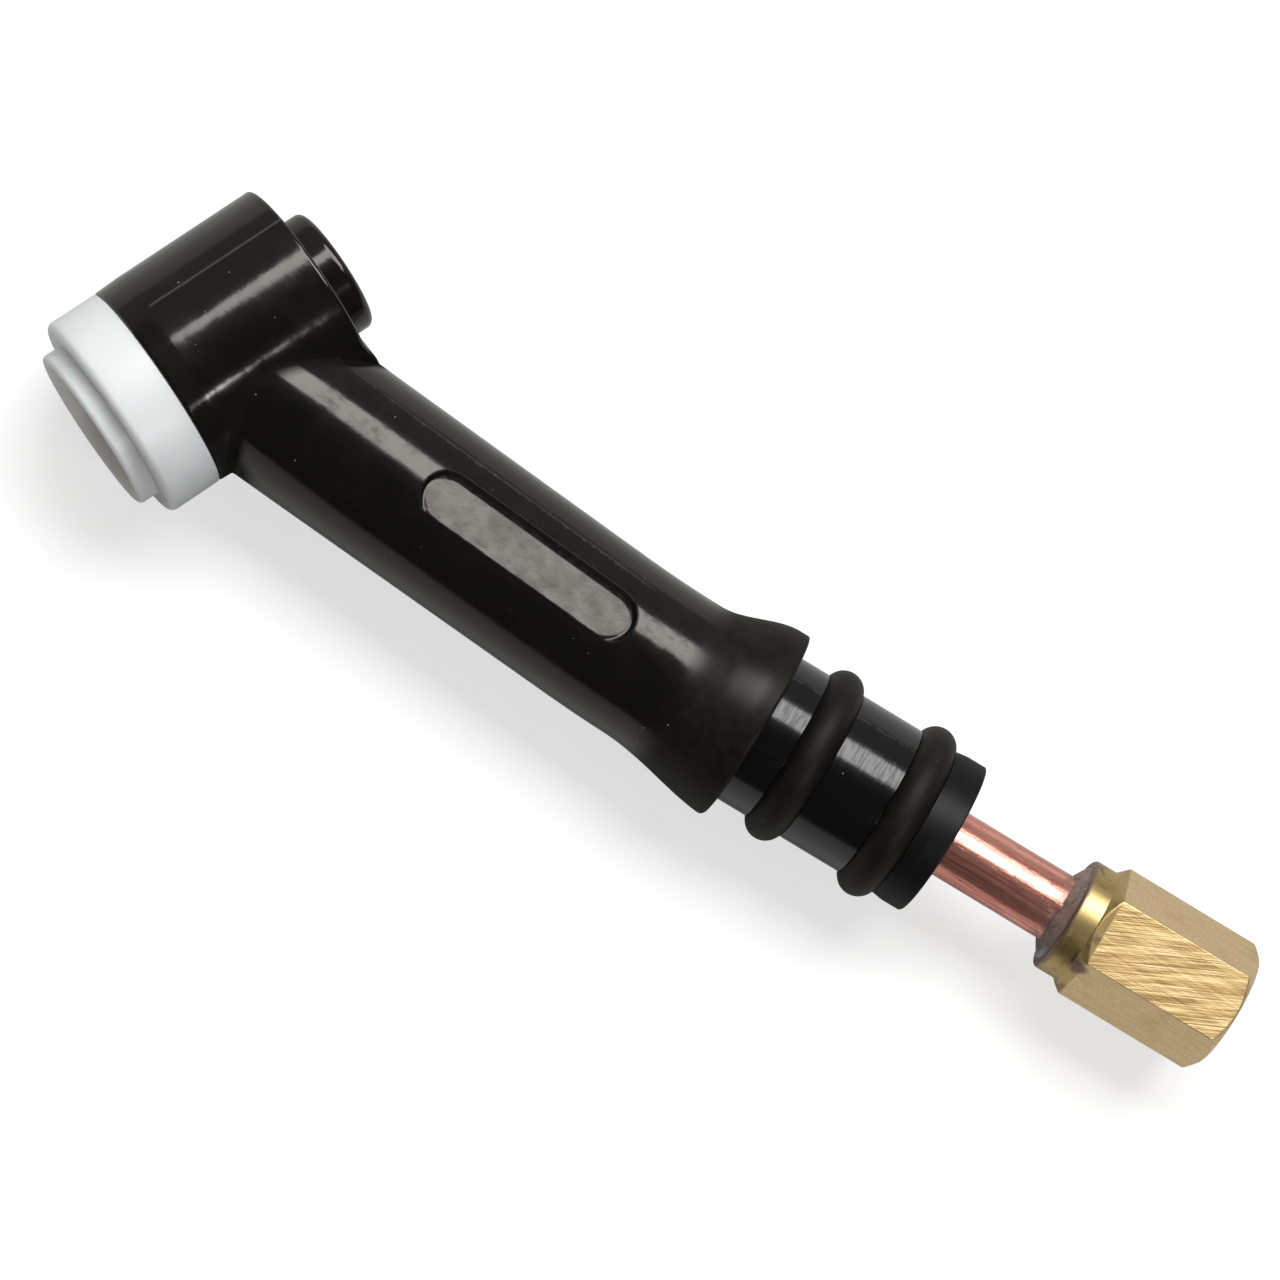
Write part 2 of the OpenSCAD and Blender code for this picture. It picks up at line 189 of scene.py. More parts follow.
# Roughness and sheen of surfaces that reflect hardly any light
MATT_ROUGHNESS, MATT_SHEEN = 0.75, 0.1


# Properties: sizes and finishes that a user would change


def length(name, value, description):
    """A length property whose default is given in millimetres."""
    return bpy.props.FloatProperty(
        name=name, description=description, default=value * MM, min=0, unit="LENGTH", precision=5
    )


def colour(name, value, description):
    """A colour property."""
    return bpy.props.FloatVectorProperty(
        name=name, description=description, default=value, size=3, min=0, max=1, subtype="COLOR"
    )


def share(name, value, description):
    """A plain number from 0 to 1."""
    return bpy.props.FloatProperty(
        name=name, description=description, default=value, min=0, max=1, subtype="FACTOR"
    )


def radiance(name, value, description):
    """The radiance of a light, as an emission shader's strength."""
    return bpy.props.FloatProperty(name=name, description=description, default=value, min=0)


class TorchSizes(bpy.types.PropertyGroup):
    """Sizes of the visible pieces."""

    barrel_d: length("Barrel", 19.8, "Diameter of the moulded barrel round the head")
    barrel_front: length("Barrel front", 5.8, "Barrel from the neck's axis to its front face")
    barrel_rear: length("Barrel rear", 10.6, "Barrel from the neck's axis to its rear face")
    collar_d: length("Rear collar", 11.8, "Diameter of the collar that takes the back cap")
    collar_end: length("Collar end", 13.4, "Collar's rim behind the neck's axis")
    lip_wall: length("Lip wall", 0.7, "Wall of the rubber lip round the insulator")
    lip_depth: length("Lip depth", 2.4, "Depth of the lip's pocket")
    core_d: length("Core", 13.8, "Diameter of the brass core in the barrel")
    core_tail_d: length("Core tail", 9.4, "Diameter of the brass core in the collar")
    core_step: length("Core step", 8.8, "Where the core narrows, behind the neck's axis")
    neck_head_d: length("Neck at the head", 15.3, "Diameter of the neck at the head")
    neck_bell_d: length("Neck at the bell", 15.0, "Diameter of the neck at the bell")
    neck_bore_d: length("Neck bore", 12.0, "Bore of the neck's skin")
    bell_d: length("Bell", 18.5, "Diameter at the bell's rim")
    flare_len: length("Flare", 9.5, "Length of the bell's flare")
    flat_start: length("Flat start", 2.2, "Neck's rear station to the flat recess")
    flat_len: length("Flat length", 22.0, "Length of the flat recess")
    flat_w: length("Flat width", 4.7, "Width of the flat recess")
    root_rise: length("Root rise", 0.8, "How far the neck swells upwards where it meets the head")
    plug_d: length("Plug", 14.5, "Diameter that the handle slides over")
    plug_len: length("Plug length", 19.4, "Length of the plug behind the bell")
    plug_set: length("Plug set", 0.5, "Depth to which the plug is let into the bell")
    spigot_d: length("Spigot", 13.0, "Diameter of the plug's spigot")
    spigot_len: length("Spigot length", 5.0, "Length of the plug's spigot")
    ring_section: length("Ring section", 3.53, "Section of the O-rings")
    ring_outer_d: length("Ring diameter", 17.04, "Outer diameter of the fitted O-rings")
    ferrule_d: length("Ferrule", 9.2, "Outer diameter of the ferrules")
    tube_d: length("Tube", 6.35, "Outer diameter of the copper tube")
    tube_bore_d: length("Tube bore", 4.35, "Bore of the copper tube")
    nut_af: length("Across flats", 11.11, "Width of the cable nut across its flats")
    nut_collar_d: length("Nut collar", 10.9, "Diameter of the nut's collar")
    nut_collar_len: length("Nut collar length", 2.2, "Length of the nut's collar")
    nut_cone_len: length("Nut cone", 1.0, "Length of the cone from collar to hexagon")
    nut_worn: length("Nut worn", 0.3, "How far the nut's open end is worn back")
    nut_chamfer: length("Nut chamfer", 0.85, "Chamfer length at the nut's open end")
    thread_d: length("Cable thread", 9.53, "Major diameter of the cable's thread")
    cap_thread_d: length("Head threads", 7.94, "Major diameter of the head's two threads")
    thread_pitch: length("Thread pitch", 1.058, "Pitch of all threads, 24 to the inch")
    clearance: length("Clearance", 0.04, "Radial clearance of pieces made fast together")


class TorchFinish(bpy.types.PropertyGroup):
    """Colours and gloss of the finishes."""

    rubber: colour("Silicone rubber", (0.0035, 0.0035, 0.003), "Moulded silicone rubber")
    plug: colour("Hard plug", (0.0015, 0.0015, 0.0015), "Glossy hard plastic of the plug")
    ring: colour("O-ring rubber", (0.0035, 0.0033, 0.003), "Matt rubber of the O-rings")
    ptfe: colour("Insulator", (0.80, 0.825, 0.815), "Turned white insulator")
    copper: colour("Copper", (0.86, 0.40, 0.31), "Drawn copper tube")
    brass: colour("Brass", (0.66, 0.47, 0.215), "Brass of the cable nut")
    braze: colour("Braze", (0.27, 0.20, 0.165), "Dull braze")
    dust: colour("Dust", (0.42, 0.38, 0.34), "Dust and lint")
    rubber_gloss: share("Rubber gloss", 0.86, "How glossy the neck's rubber is")
    bell_gloss: share("Bell gloss", 0.62, "How glossy the bell's dusty rubber is")


class TorchStage(bpy.types.PropertyGroup):
    """Floor and light."""

    floor: colour("Floor", (0.49, 0.49, 0.49), "Pale floor")
    key_strength: radiance("Key light", 6.3, "Radiance of the wide soft light")
    side_strength: radiance("Side light", 24.0, "Radiance of the narrow soft light")
    light_distance: length("Light distance", 700, "Distance of the lights from the torch")
    key_width: length("Key width", 617, "Width of the wide soft light")
    key_height: length("Key height", 361, "Height of the wide soft light")
    side_width: length("Side light width", 300, "Width of the narrow soft light")
    side_height: length("Side light height", 40, "Height of the narrow soft light")
    floor_size: length("Floor size", 6000, "Side of the floor")


def in_mm(group):
    """All lengths of a property group in millimetres, and its other values as they are."""
    values = {}
    for name in group.__annotations__:
        is_length = group.bl_rna.properties[name].unit == "LENGTH"
        values[name] = getattr(group, name) / MM if is_length else getattr(group, name)
    return SimpleNamespace(**values)


def sizes():
    """The torch's sizes in millimetres."""
    return in_mm(bpy.context.scene.torch_sizes)


def finish():
    """The torch's finishes."""
    return bpy.context.scene.torch_finish


# Meshes


def smoothstep(low, high, value):
    """0 below low, 1 above high, and an even curve between them."""
    part = np.clip((value - low) / (high - low), 0, 1)
    return part * part * (3 - 2 * part)


def ring_faces(rows, columns):
    """Faces of a grid of points that closes on itself both ways."""
    row, column = np.meshgrid(np.arange(rows), np.arange(columns), indexing="ij")
    next_row, next_column = (row + 1) % rows, (column + 1) % columns
    corners = [(row, column), (row, next_column), (next_row, next_column), (next_row, column)]
    return np.stack([r * columns + c for r, c in corners], -1).reshape(-1, 4)


def read(items, name, width=1, kind=float):
    """One property of all vertices, loops or polygons of a mesh, in one array."""
    values = np.zeros(len(items) * width, kind)
    items.foreach_get(name, values)
    return values


def keep_rest(mesh):
    """Stores each point's place at rest, which the rubber's pattern follows."""
    places = read(mesh.vertices, "co", 3, np.float32)
    mesh.attributes.new(REST, "FLOAT_VECTOR", "POINT").data.foreach_set("vector", places)


def link(name, mesh, material):
    """A new object at the origin with one material."""
    mesh.materials.clear()
    mesh.materials.append(material)
    piece = bpy.data.objects.new(name, mesh)
    bpy.context.scene.collection.objects.link(piece)
    return piece


def solid(name, points, faces, look, sharp=38, cut=None):
    """A closed piece from points in millimetres, with outward faces and its edges kept crisp.

    cut takes off what lies beyond a plane, given by a point and a direction.
    """
    mesh = bpy.data.meshes.new(name)
    mesh.from_pydata((points.reshape(-1, 3) * MM).tolist(), [], faces.tolist())
    build = bmesh.new()
    build.from_mesh(mesh)
    if cut:
        cut_and_close(build, *cut)
    bmesh.ops.recalc_face_normals(build, faces=build.faces)
    crisp_edges(build, sharp)
    build.to_mesh(mesh)
    build.free()
    keep_rest(mesh)
    return link(name, mesh, material(look))


def cut_and_close(build, point, direction):
    """Takes off what lies beyond a plane, and closes the rim that is left."""
    geometry = [*build.verts, *build.edges, *build.faces]
    plane = {"plane_co": point * MM, "plane_no": direction}
    bmesh.ops.bisect_plane(build, geom=geometry, clear_outer=True, dist=1e-7, **plane)
    rim = [edge for edge in build.edges if edge.is_boundary]
    bmesh.ops.triangle_fill(build, edges=rim, use_beauty=True, normal=direction)


def crisp_edges(build, sharp):
    """Smooth faces, with the edges that bend by more than an angle in degrees left sharp."""
    for face in build.faces:
        face.smooth = True
    for edge in build.edges:
        edge.smooth = edge.calc_face_angle(0) < math.radians(sharp)


def angles(columns):
    """Even angles round an axis."""
    return np.linspace(0, TAU, columns, endpoint=False)[None, :]


def lathe(name, line, profile, look, columns=192, shape=None):
    """A solid of revolution from a closed profile of (radius, height) points.

    shape may change them: it gets radius, angle and height, and returns radius and height.
    """
    profile = np.array(profile, float)
    angle = angles(columns)
    radius = profile[:, :1] + 0 * angle
    height = profile[:, 1:] + 0 * angle
    if shape:
        radius, height = shape(radius, angle, height)
    points = line.place(radius, angle, height)
    return solid(name, points, ring_faces(len(profile), columns), look)


def rounded(corners, steps=6):
    """A closed profile whose corners, given as (radius, height, round), are eased into arcs."""
    path = []
    for index, (radius, height, ease) in enumerate(corners):
        here = Vector((radius, height))
        if not ease:
            path.append(here[:])
            continue
        back = (Vector(corners[index - 1][:2]) - here).normalized()
        ahead = (Vector(corners[(index + 1) % len(corners)][:2]) - here).normalized()
        half = back.angle(ahead) / 2
        centre = here + (back + ahead).normalized() * ease / math.sin(half)
        first, last = [here + way * ease / math.tan(half) - centre for way in (back, ahead)]
        start = math.atan2(first.y, first.x)
        turn = (math.atan2(last.y, last.x) - start + math.pi) % TAU - math.pi
        for step in range(steps + 1):
            at = start + turn * step / steps
            path.append((centre.x + ease * math.cos(at), centre.y + ease * math.sin(at)))
    return path


def stretch(start, end, count):
    """Even points between two profile points, without the ends."""
    start, end = np.array(start, float), np.array(end, float)
    return [tuple(start + (end - start) * step / count) for step in range(1, count)]


def internal_thread(crest, major, pitch, low, high):
    """Shapes the rows of a bore at the crest radius into a thread between two heights."""
    truncation = 0.125

    def shape(radius, angle, height):
        turn = height / pitch - angle / TAU
        groove = np.abs(2 * (turn % 1) - 1) * (1 + 2 * truncation) - truncation
        fade = np.clip(np.minimum(height - low, high - height) / pitch, 0, 1)
        cut = (major - crest) * np.clip(groove, 0, 1) * fade
        return radius + np.where(np.abs(radius - crest) < 1e-6, cut, 0), height

    return shape


# The head's form as a signed distance, and its surface


def smooth_least(first, second, blend):
    """The smaller of two distances, with the crease between them filled over a blend length."""
    mix = np.clip(0.5 + 0.5 * (second - first) / blend, 0, 1)
    return second + (first - second) * mix - blend * mix * (1 - mix)


def cut_out(body, tool, blend=0.15):
    """Takes a tool's form out of a body, with a slightly eased edge."""
    return -smooth_least(-body, tool, blend)


def rod(radial, along, radius, low, high, ease):
    """Distance to a round bar with eased ends."""
    across = radial - (radius - ease)
    beyond = np.abs(along - (low + high) / 2) - ((high - low) / 2 - ease)
    outside = np.hypot(np.maximum(across, 0), np.maximum(beyond, 0))
    return outside + np.minimum(np.maximum(across, beyond), 0) - ease


def neck_base_radius(u):
    """Radius of the plain neck at distances from its rear station."""
    s = sizes()
    part = np.clip(u / SKIN_END, 0, 1)
    return (s.neck_bell_d + (s.neck_head_d - s.neck_bell_d) * part) / 2


def root_swell(u):
    """How many times taller than wide the neck is, which grows towards the head."""
    s = sizes()
    return 1 + s.root_rise / (s.neck_head_d / 2) * smoothstep(27, 41, u)


def barrel_seam(side, up, along):
    """Height of the moulding seam that runs along the barrel."""
    half_width, seam_height = 2.2, 0.04  # degrees, millimetres
    off = np.abs(np.degrees(np.arctan2(side, up)) + HEAD_SEAM_ANGLE) / half_width
    shape = 0.5 + 0.5 * np.cos(math.pi * np.clip(off, 0, 1))
    return seam_height * shape * smoothstep(BAND, BAND + 0.5, along)


def head_tools(radial, along, round_neck, out):
    """Forms cut out of the head's rubber, from distances to its axes and along them."""
    s = sizes()
    core_r, core_tail_r, ferrule_r = [
        size / 2 + s.clearance for size in (s.core_d, s.core_tail_d, s.ferrule_d)
    ]
    lip_floor = s.lip_depth - s.barrel_front
    front_joint = REACH - (len(SKIN_BODIES) - 2) * PITCH
    return [
        np.maximum(radial - (s.barrel_d / 2 - s.lip_wall), along - lip_floor),
        np.maximum(radial - core_r, along - s.core_step - s.clearance),
        radial - core_tail_r,
        np.maximum(round_neck - ferrule_r, -out),
        np.hypot(round_neck, out - front_joint) - SOCKET_R,
        np.maximum.reduce([round_neck - BOSS_R, out - BOSS_END, -out, lip_floor - along]),
    ]


def head_form(local):
    """Signed distance of the head's rubber, from side, up and along distances in millimetres."""
    s = sizes()
    side, up, along = local.T
    radial = np.hypot(side, up)
    lean = -NECK.along @ HEAD.axes.T
    out = side * lean[0] + along * lean[2]
    back = along * lean[0] - side * lean[2]
    around = np.hypot(back, up / root_swell(REACH - out))

    front_ease, rear_ease, collar_ease, rear_swell, draft_slope = 0.22, 0.3, 0.7, 0.7, 0.04
    ease = np.where(along < 0, front_ease, rear_ease)
    rear = s.barrel_rear + rear_swell * smoothstep(0.75, 1.0, side / np.maximum(radial, 1e-6))
    draft = draft_slope * np.maximum(BAND - along, 0)
    skin = radial - barrel_seam(side, up, along) + draft
    barrel = rod(skin, along, s.barrel_d / 2, -s.barrel_front, rear, ease)
    collar = rod(radial, along, s.collar_d / 2, 0, s.collar_end, collar_ease)
    neck = np.maximum(around - neck_base_radius(REACH - out), -out)
    crease = 0.04 + 0.10 * smoothstep(REACH - SKIN_END, REACH - SKIN_END - 2, out)
    body = smooth_least(smooth_least(barrel, neck, crease), collar, 0.3)
    body = np.maximum(body, -s.barrel_front - along)

    for tool in head_tools(radial, along, np.hypot(back, up), out):
        body = cut_out(body, tool)
    return body


def slopes(form, points, step=0.01):
    """Directions in which a signed distance grows, as unit vectors."""
    offsets = np.eye(3) * step
    rises = [form(points + offset) - form(points - offset) for offset in offsets]
    rise = np.stack(rises, 1)
    return rise / np.maximum(np.linalg.norm(rise, axis=1, keepdims=True), 1e-9)


def settle(form, points, passes=4):
    """Moves points along the slope on to the zero surface."""
    for _ in range(passes):
        points = points - form(points)[:, None] * slopes(form, points)
    return points


def sliced(array, parts):
    """An array cut down along some of its first three axes."""
    return array[tuple(parts.get(axis, slice(None)) for axis in range(3))]


def edge_crossings(values, grid, cell, axis):
    """Which edges along an axis the zero surface crosses, where, and which start inside."""
    start, end = sliced(values, {axis: slice(0, -1)}), sliced(values, {axis: slice(1, None)})
    crossed = (start < 0) != (end < 0)
    place = sliced(grid, {axis: slice(0, -1)}).copy()
    place[..., axis] += np.where(crossed, start / np.where(crossed, start - end, 1), 0) * cell
    return crossed, place, start < 0


def quads_round(number, crossed, inward, axis, others):
    """Quads between the numbered points round each crossed edge along an axis."""
    at = np.argwhere(sliced(crossed, dict.fromkeys(others, slice(1, -1))))
    at[:, others] += 1
    corners = []
    for shift in ((1, 1), (0, 1), (0, 0), (1, 0)):
        cell_at = at.copy()
        cell_at[:, others] -= shift
        corners.append(number[tuple(cell_at.T)])
    quads = np.stack(corners, 1)
    flip = inward[tuple(at.T)] != (axis == 1)
    quads[flip] = quads[flip][:, ::-1]
    return quads


def grid_surface(form, low, high, cell):
    """Points and quads round the zero surface of a form, from an even grid of samples."""
    axes = [np.arange(a, b + cell, cell) for a, b in zip(low, high)]
    grid = np.stack(np.meshgrid(*axes, indexing="ij"), -1)
    values = form(grid.reshape(-1, 3)).reshape(grid.shape[:3])
    cells = np.array(values.shape) - 1
    sums, hits = np.zeros((*cells, 3)), np.zeros(cells)
    edges = []
    for axis, others in enumerate(([1, 2], [0, 2], [0, 1])):
        crossed, place, inward = edge_crossings(values, grid, cell, axis)
        for shift in ((0, 0), (0, 1), (1, 0), (1, 1)):
            taken = {k: slice(offset, offset + cells[k]) for k, offset in zip(others, shift)}
            sums += np.where(sliced(crossed, taken)[..., None], sliced(place, taken), 0)
            hits += sliced(crossed, taken)
        edges.append((crossed, inward, axis, others))
    used = hits > 0
    number = np.full(cells, -1)
    number[used] = np.arange(used.sum())
    faces = [quads_round(number, *edge) for edge in edges]
    return sums[used] / hits[used][:, None], np.concatenate(faces)


def relax(points, faces, passes=2):
    """Evens out the spacing of a surface's points."""
    pairs = np.concatenate([faces[:, [k, (k + 1) % 4]] for k in range(4)])
    for _ in range(passes):
        total, count = np.zeros_like(points), np.zeros(len(points))
        for here, there in (pairs.T, pairs.T[::-1]):
            np.add.at(total, here, points[there])
            np.add.at(count, here, 1)
        points = 0.5 * points + 0.5 * total / count[:, None]
    return points


def form_normals(piece, form, line):
    """Gives a piece's smooth faces the exact slope of its form, and its cut faces their own."""
    mesh = piece.data
    places = read(mesh.vertices, "co", 3).reshape(-1, 3) / MM
    exact = slopes(form, line.local(places)) @ line.axes
    normals = exact[read(mesh.loops, "vertex_index", kind=int)]
    own = read(mesh.polygons, "normal", 3).reshape(-1, 3)
    own = np.repeat(own, read(mesh.polygons, "loop_total", kind=int), axis=0)
    same_way = 0.8  # cosine of the angle up to which a face counts as smooth
    apart = (normals * own).sum(1) < same_way
    normals[apart] = own[apart]
    mesh.normals_split_custom_set(normals.tolist())


# Materials


class Value:
    """A node's output that works in Python expressions, where each operator adds its node."""

    def __init__(self, tree, socket=None):
        self.tree = tree
        self.socket = socket

    def make(self, kind, settings=None, inputs=None, output=0):
        """Adds a node: its settings first, then its sockets."""
        node = self.tree.nodes.new(kind)
        for name, value in (settings or {}).items():
            setattr(node, name, value)
        for key, value in (inputs or {}).items():
            if isinstance(value, Value):
                self.tree.links.new(value.socket, node.inputs[key])
            else:
                node.inputs[key].default_value = value
        return Value(self.tree, node.outputs[output]) if node.outputs else None

    def maths(self, operation, *values):
        """A Math node on numbers."""
        return self.make("ShaderNodeMath", {"operation": operation}, dict(enumerate(values)))

    def vector(self, operation, *values, output=0):
        """A Vector Math node."""
        settings = {"operation": operation}
        return self.make("ShaderNodeVectorMath", settings, dict(enumerate(values)), output)

    def __add__(self, other):
        return self.maths("ADD", self, other)

    __radd__ = __add__

    def __sub__(self, other):
        return self.maths("SUBTRACT", self, other)

    def __rsub__(self, other):
        return self.maths("SUBTRACT", other, self)

    def __mul__(self, other):
        return self.maths("MULTIPLY", self, other)

    __rmul__ = __mul__

    def __lt__(self, other):
        return self.maths("LESS_THAN", self, other)

    def __abs__(self):
        return self.maths("ABSOLUTE", self)

    def most(self, *others):
        """The greatest of this and the other values."""
        value = self
        for other in others:
            value = self.maths("MAXIMUM", value, other)
        return value

    def between(self, low, high):
        """A smooth step from 0 at low to 1 at high."""
        settings = {"interpolation_type": "SMOOTHSTEP"}
        return self.make("ShaderNodeMapRange", settings, {0: self, 1: low, 2: high})

    def until(self, low, high):
        """A smooth step from 1 at low to 0 at high."""
        return 1 - self.between(low, high)

    def near(self, middle, inner, outer):
        """1 within an inner distance of a middle, and 0 beyond an outer one."""
        off = self - middle if middle else self
        return abs(off).until(inner, outer)

    def noise(self, scale, detail=2.0, roughness=0.5):
        """Noise on a place vector, with so many features a millimetre."""
        inputs = {"Vector": self, "Scale": scale, "Detail": detail, "Roughness": roughness}
        return self.make("ShaderNodeTexNoise", None, inputs)

    def grain(self, scales, detail=2.0, roughness=0.5):
        """Noise with its own number of features a millimetre along each axis."""
        return self.stretched(*scales).noise(1.0, detail, roughness)

    def rings(self, scale):
        """Noise along this value alone."""
        settings = {"noise_dimensions": "1D"}
        return self.make("ShaderNodeTexNoise", settings, {"W": self * scale})

    def cells(self, scale, output=0):
        """Distance to the nearest of scattered points, or the cell's own colour as output 1."""
        return self.make("ShaderNodeTexVoronoi", None, {"Vector": self, "Scale": scale}, output)

    def stretched(self, x, y, z):
        """A place vector scaled along each axis."""
        return self.vector("MULTIPLY", self, (x, y, z))

    def turned(self, degrees):
        """A place vector turned about Z."""
        inputs = {"Vector": self, "Angle": math.radians(degrees)}
        return self.make("ShaderNodeVectorRotate", {"rotation_type": "Z_AXIS"}, inputs)

    def offset(self, point):
        """A place vector as seen from a point."""
        return self.vector("SUBTRACT", self, tuple(point))

    def along(self, way):
        """How far a vector reaches in a direction."""
        return self.vector("DOT_PRODUCT", self, tuple(way), output=1)

    def size(self):
        """A vector's length."""
        return self.vector("LENGTH", self, output=1)

    def part(self, index):
        """One component of a vector."""
        return self.make("ShaderNodeSeparateXYZ", None, {0: self}, index)

    def mix(self, first, second):
        """A colour between two, by this factor."""
        colours = [c if isinstance(c, Value) else (*c[:3], 1) for c in (first, second)]
        inputs = {0: self, 6: colours[0], 7: colours[1]}
        return self.make("ShaderNodeMix", {"data_type": "RGBA"}, inputs, 2)


def laid_over(base, *coats):
    """A colour under coats, each given by its share and colour, in the order of laying."""
    for amount, over in coats:
        base = amount.mix(base, over)
    return base


def object_place(shade):
    """The piece's own coordinates in millimetres."""
    return shade.make("ShaderNodeTexCoord", output=3).stretched(*[1 / MM] * 3)


def rest_place(shade):
    """The coordinates at rest in millimetres, from the piece's attribute."""
    place = shade.make("ShaderNodeAttribute", {"attribute_name": REST}, output=1)
    return place.stretched(*[1 / MM] * 3)


def begin(name, place=object_place):
    """The finishes, a new empty material, and a place vector from which its nodes are made."""
    made = bpy.data.materials.new("finish_" + name)
    made.use_nodes = True
    made.node_tree.nodes.clear()
    return finish(), made, place(Value(made.node_tree))


def along_line(place, line):
    """Height along an axis and angle about it, from up towards its side, in degrees."""
    offset = place.offset(line.origin)
    side = offset.along(line.side)
    angle = side.maths("ARCTAN2", side, offset.part(2))
    return offset.along(line.along), angle * math.degrees(1)


def from_line(place, line):
    """Distance from an axis."""
    offset = place.offset(line.origin)
    return offset.vector("CROSS_PRODUCT", offset, tuple(line.along)).size()


def surface(made, base, roughness, height, depth, matt=None, **constants):
    """Ends a material in a Principled shader, with a bump whose height is in units of depth, mm.

    Where matt is 1, a shader with hardly any sheen takes its place.
    """
    shade = Value(made.node_tree)
    bump = {"Height": height, "Distance": depth * MM, "Strength": 1.0}
    normal = shade.make("ShaderNodeBump", None, bump)
    inputs = {"Base Color": base, "Roughness": roughness, "Normal": normal}
    for name, value in constants.items():
        inputs[name.replace("_", " ").title().replace("Ior", "IOR")] = value
    shader = shade.make("ShaderNodeBsdfPrincipled", None, inputs)
    if matt is not None:
        inputs.update({"Roughness": MATT_ROUGHNESS, "Specular IOR Level": MATT_SHEEN})
        flat = shade.make("ShaderNodeBsdfPrincipled", None, inputs)
        shader = shade.make("ShaderNodeMixShader", None, {0: matt, 1: shader, 2: flat})
    shade.make("ShaderNodeOutputMaterial", None, {"Surface": shader})
    return made


def specks(place, scale, radius, amount):
    """Scattered round specks: 1 on a speck, 0 elsewhere, with a share of the cells filled."""
    near = place.cells(scale)
    lot = place.cells(scale, output=1).part(0)
    return near.until(radius * 0.6 * scale, radius * scale) * (lot < amount)


def recess_masks(neck_height, neck_angle):
    """Shares to which a place is on the recess's floor and on its wall."""
    s = sizes()
    half_w = s.flat_w / 2 + FLAT_SPARE
    psi = neck_angle * math.radians(1) - FLAT_MIDDLE
    aside = psi.maths("SINE", psi) * (s.neck_bell_d / 2) + FLAT_SPARE
    past = abs(neck_height - (s.flat_start + s.flat_len / 2)) - (s.flat_len / 2 - half_w)
    past = past.most(0.0)
    apart = past * past + aside * aside
    inside = half_w - apart.maths("SQRT", apart)
    inner = inside - aside.between(0.0, half_w) * 0.6
    wall = inside.between(-0.3, -0.1) * inner.until(0.10, 0.35)
    near_side = neck_angle.near(0, 60.0, 70.0)
    return inside.between(0.2, 0.6) * near_side, wall * near_side


def rubber_dust(place):
    """Share of dust and lint on the rubber."""
    lint = place.stretched(1.0, 0.35, 1.0).turned(31)
    dust = specks(place, 0.55, 0.10, 0.30) + specks(place, 1.1, 0.055, 0.16)
    dust = dust + specks(lint, 0.32, 0.06, 0.12)
    return dust.maths("MINIMUM", dust, 1.0)


def rubber_seams(place, on_head):
    """Shares of the moulding seams on the barrel and on the neck."""
    head_height, head_angle = along_line(place, HEAD)
    neck_height, neck_angle = along_line(place, NECK)
    seam = head_angle.near(-HEAD_SEAM_ANGLE, 0.2, 1.1) * on_head
    seam = seam * head_height.between(BAND, BAND + 0.5) * (head_height < sizes().barrel_rear)
    neck_seam = neck_angle.near(NECK_SEAM_ANGLE, 0.3, 1.3) * (1 - on_head)
    neck_seam = neck_seam * place.noise(1.5, 4.0, 0.7).between(0.42, 0.62)
    return seam, neck_seam * neck_height.between(1.0, 4.0)


def matt_rubber(place, bell, on_head, flat, wall, smears):
    """Share of matt rubber: the bell, the barrel's front, corners and worn patches."""
    head_height, head_angle = along_line(place, HEAD)
    neck_height, neck_angle = along_line(place, NECK)
    front = head_height.until(BAND - 0.7, BAND + 0.3) * on_head * head_angle.between(-30.0, -20.0)
    crease = from_line(place, NECK).until(8.5, 9.3) * neck_height.until(43.0, 45.0)
    crease = crease * from_line(place, HEAD).until(10.0, 10.9)
    patches = place.noise(0.5, 2.0).between(0.40, 0.60) * (1 - on_head)
    patches = patches * neck_angle.near(math.degrees(FLAT_MIDDLE), 18.0, 32.0)
    patches = patches * place.grain((1.0, 2.2, 2.0), 4.0, 0.65).between(0.36, 0.70)
    patches = (patches * (1 - flat) * 0.5).most(flat * smears.between(0.36, 0.70) * 0.2)
    sheen = place.part(0).near(-3.0, 0.8, 2.2) * along_line(place, TAIL)[1].near(8.0, 6.0, 20.0)
    return (bell * (0.78 - sheen * 0.4)).most(front * 0.9, crease, wall * 0.9, patches)


